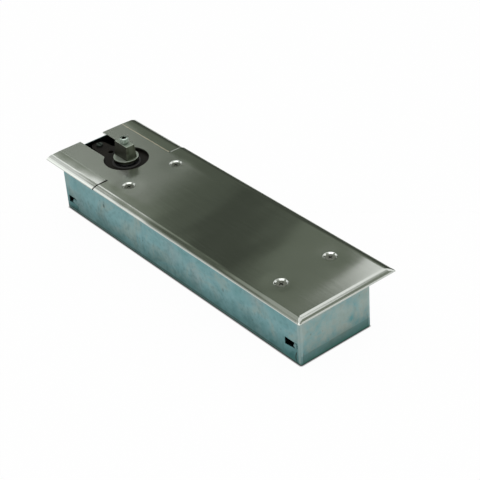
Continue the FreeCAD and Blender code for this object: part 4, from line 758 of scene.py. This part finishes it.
# The plate shows the upright edges of the room's windows on a slant, their sills on a gentle one,
# and the top of the window that the front tab mirrors on a steeper one. A slant is named by its
# azimuth at an elevation of 34 degrees, the other two by their elevation at an azimuth of 165.
slant_at = 34
slant = add(tree, "Math", {0: azimuth, 1: elevation}, operation="SUBTRACT").outputs[0]
slant = add(tree, "Math", {0: slant, 1: math.radians(slant_at)}, operation="ADD").outputs[0]
pivot = 165
sill_slope = 0.25
steep_slope = 0.5
sill = add(tree, "Math", {0: azimuth, 1: -sill_slope, 2: elevation}, operation="MULTIPLY_ADD").outputs[0]
sill = add(tree, "Math", {0: sill, 1: math.radians(sill_slope * pivot)}, operation="ADD").outputs[0]
steep = add(tree, "Math", {0: azimuth, 1: -steep_slope, 2: elevation}, operation="MULTIPLY_ADD").outputs[0]
steep = add(tree, "Math", {0: steep, 1: math.radians(steep_slope * pivot)}, operation="ADD").outputs[0]


def glow(level, brightness, *edges):
    """Brighten the room inside its edges, each an angle with where it starts and is full, in degrees."""
    mask = brightness
    for angle, start, full in edges:
        edge = add(tree, "MapRange", {"Value": angle, "From Min": math.radians(start),
                                      "From Max": math.radians(full)}, interpolation_type="SMOOTHSTEP")
        mask = add(tree, "Math", {0: edge.outputs["Result"], 1: mask}, operation="MULTIPLY").outputs[0]
    return add(tree, "Math", {0: level, 1: mask}, operation="ADD").outputs[0]


# The room is dim behind the object, where the flat of the plate mirrors it, and lighter in front.
behind = math.radians(148)
facing = add(tree, "VectorMath", {0: look, 1: (math.cos(behind), math.sin(behind), 0.0)},
             operation="DOT_PRODUCT").outputs["Value"]
level = add(tree, "MapRange", {"Value": facing, "From Min": -0.3, "From Max": 0.6, "To Min": 0.55,
                               "To Max": 0.09}, interpolation_type="SMOOTHSTEP").outputs["Result"]

# Windows on the left light the front tab, the foot of its ridge and the border beside it.
left_end = (azimuth, 218, 212)
level = glow(level, 0.42, (azimuth, 148, 152), (azimuth, 176, 172), (elevation, 32, 32.9),
             (steep, 39.6, 38.6))
level = glow(level, 0.85, (azimuth, 149, 151), (azimuth, 158, 156), (elevation, 31.7, 32.3),
             (elevation, 35.2, 34.4))
level = glow(level, 0.45, (azimuth, 170, 174), (azimuth, 184, 180), (elevation, 36, 38),
             (elevation, 42.2, 41.4))
level = glow(level, 0.85, (azimuth, 178.5, 180.5), left_end, (elevation, 5, 11), (elevation, 45, 43))
# Lower and fainter ones light the flats beside the spindle and the front ridge.
level = glow(level, 0.27, (azimuth, 146, 151), left_end, (elevation, 29, 31.5), (sill, 44.4, 40))
level = glow(level, 0.04, (azimuth, 150, 158), left_end, (elevation, 36, 42), (elevation, 75, 70))
level = glow(level, 0.26, (azimuth, 146.3, 147.5), (azimuth, 150.2, 149), (elevation, 26, 28),
             (elevation, 30.4, 29.4))
# High ones draw the mitres and the crescents of the dishes.
level = glow(level, 0.9, (azimuth, 105, 111), (azimuth, 166, 158), (elevation, 52, 56), (elevation, 80, 75))
level = glow(level, 0.4, (azimuth, 190, 200), (elevation, 52, 58))
level = glow(level, 0.4, (azimuth, 184, 188), left_end, (elevation, 34, 37), (elevation, 60, 55))
level = glow(level, 0.9, (azimuth, 57, 63), (azimuth, 90, 84), (elevation, 49, 52), (elevation, 80, 75))
# The front border mirrors the wall above the sills.
level = glow(level, 0.4, (azimuth, 148, 154), left_end, (sill, 45, 49.2), (elevation, 75, 70))
# Faint slanting bands cross the flat, and a bright window fills its far back corner.
right_end = (azimuth, 57, 63)
level = glow(level, 0.045, (slant, 145.2, 145.8), (elevation, 20, 26), (elevation, 45, 40))
level = glow(level, 0.06, (slant, 147.5, 151), (elevation, 20, 26), (elevation, 45, 40))
level = glow(level, 0.035, (slant, 143.0, 142.5), right_end, (elevation, 20, 26), (elevation, 66, 62))
level = glow(level, 0.1, (slant, 141.6, 140.4), right_end, (elevation, 20, 26), (elevation, 66, 62))
level = glow(level, 1.05, (slant, 136.0, 135.3), right_end, (elevation, 22, 26), (elevation, 53, 50))
tree.links.new(level, background.inputs["Strength"])

# The dim parts of the room are a greenish grey.
dim_tint = (0.89, 1.0, 0.79, 1.0)
lightness = where((level, 0.2, 0.75))
room = add(tree, "Mix", {0: lightness, 6: dim_tint, 7: pure_white}, data_type="RGBA").outputs[2]
tree.links.new(room, background.inputs["Color"])

# Past the edge of the sweep the camera sees white too.
straight = add(tree, "LightPath", {}).outputs["Is Camera Ray"]
clear = add(tree, "Background", {"Color": pure_white, "Strength": 1.0}).outputs[0]
backdrop = add(tree, "MixShader", {0: straight, 1: background.outputs[0], 2: clear}).outputs[0]
tree.links.new(backdrop, tree.nodes["World Output"].inputs["Surface"])

# A square softbox hangs high over the object, a little to the front. Its brightness is what a
# mirror shows of it.
lamp_azimuth = 300
lamp_elevation = 80
lamp_distance = 2.2
lamp_side = 2.0
lamp_brightness = 1.5
aim = (0.12, 0.0, 0.05)
lamp = bpy.data.lights.new("overhead_softbox", "AREA")
lamp.shape = "RECTANGLE"
lamp.size = lamp_side
lamp.size_y = lamp_side
lamp.energy = lamp_brightness * math.pi * lamp_side * lamp_side
softbox = bpy.data.objects.new("overhead_softbox", lamp)
lamp_turn = math.radians(lamp_azimuth)
lamp_rise = math.radians(lamp_elevation)
softbox.location = (aim[0] + lamp_distance * math.cos(lamp_rise) * math.cos(lamp_turn),
                    aim[1] + lamp_distance * math.cos(lamp_rise) * math.sin(lamp_turn),
                    aim[2] + lamp_distance * math.sin(lamp_rise))
softbox.rotation_euler = (math.radians(90 - lamp_elevation), 0.0, math.radians(lamp_azimuth + 90))
scene.collection.objects.link(softbox)
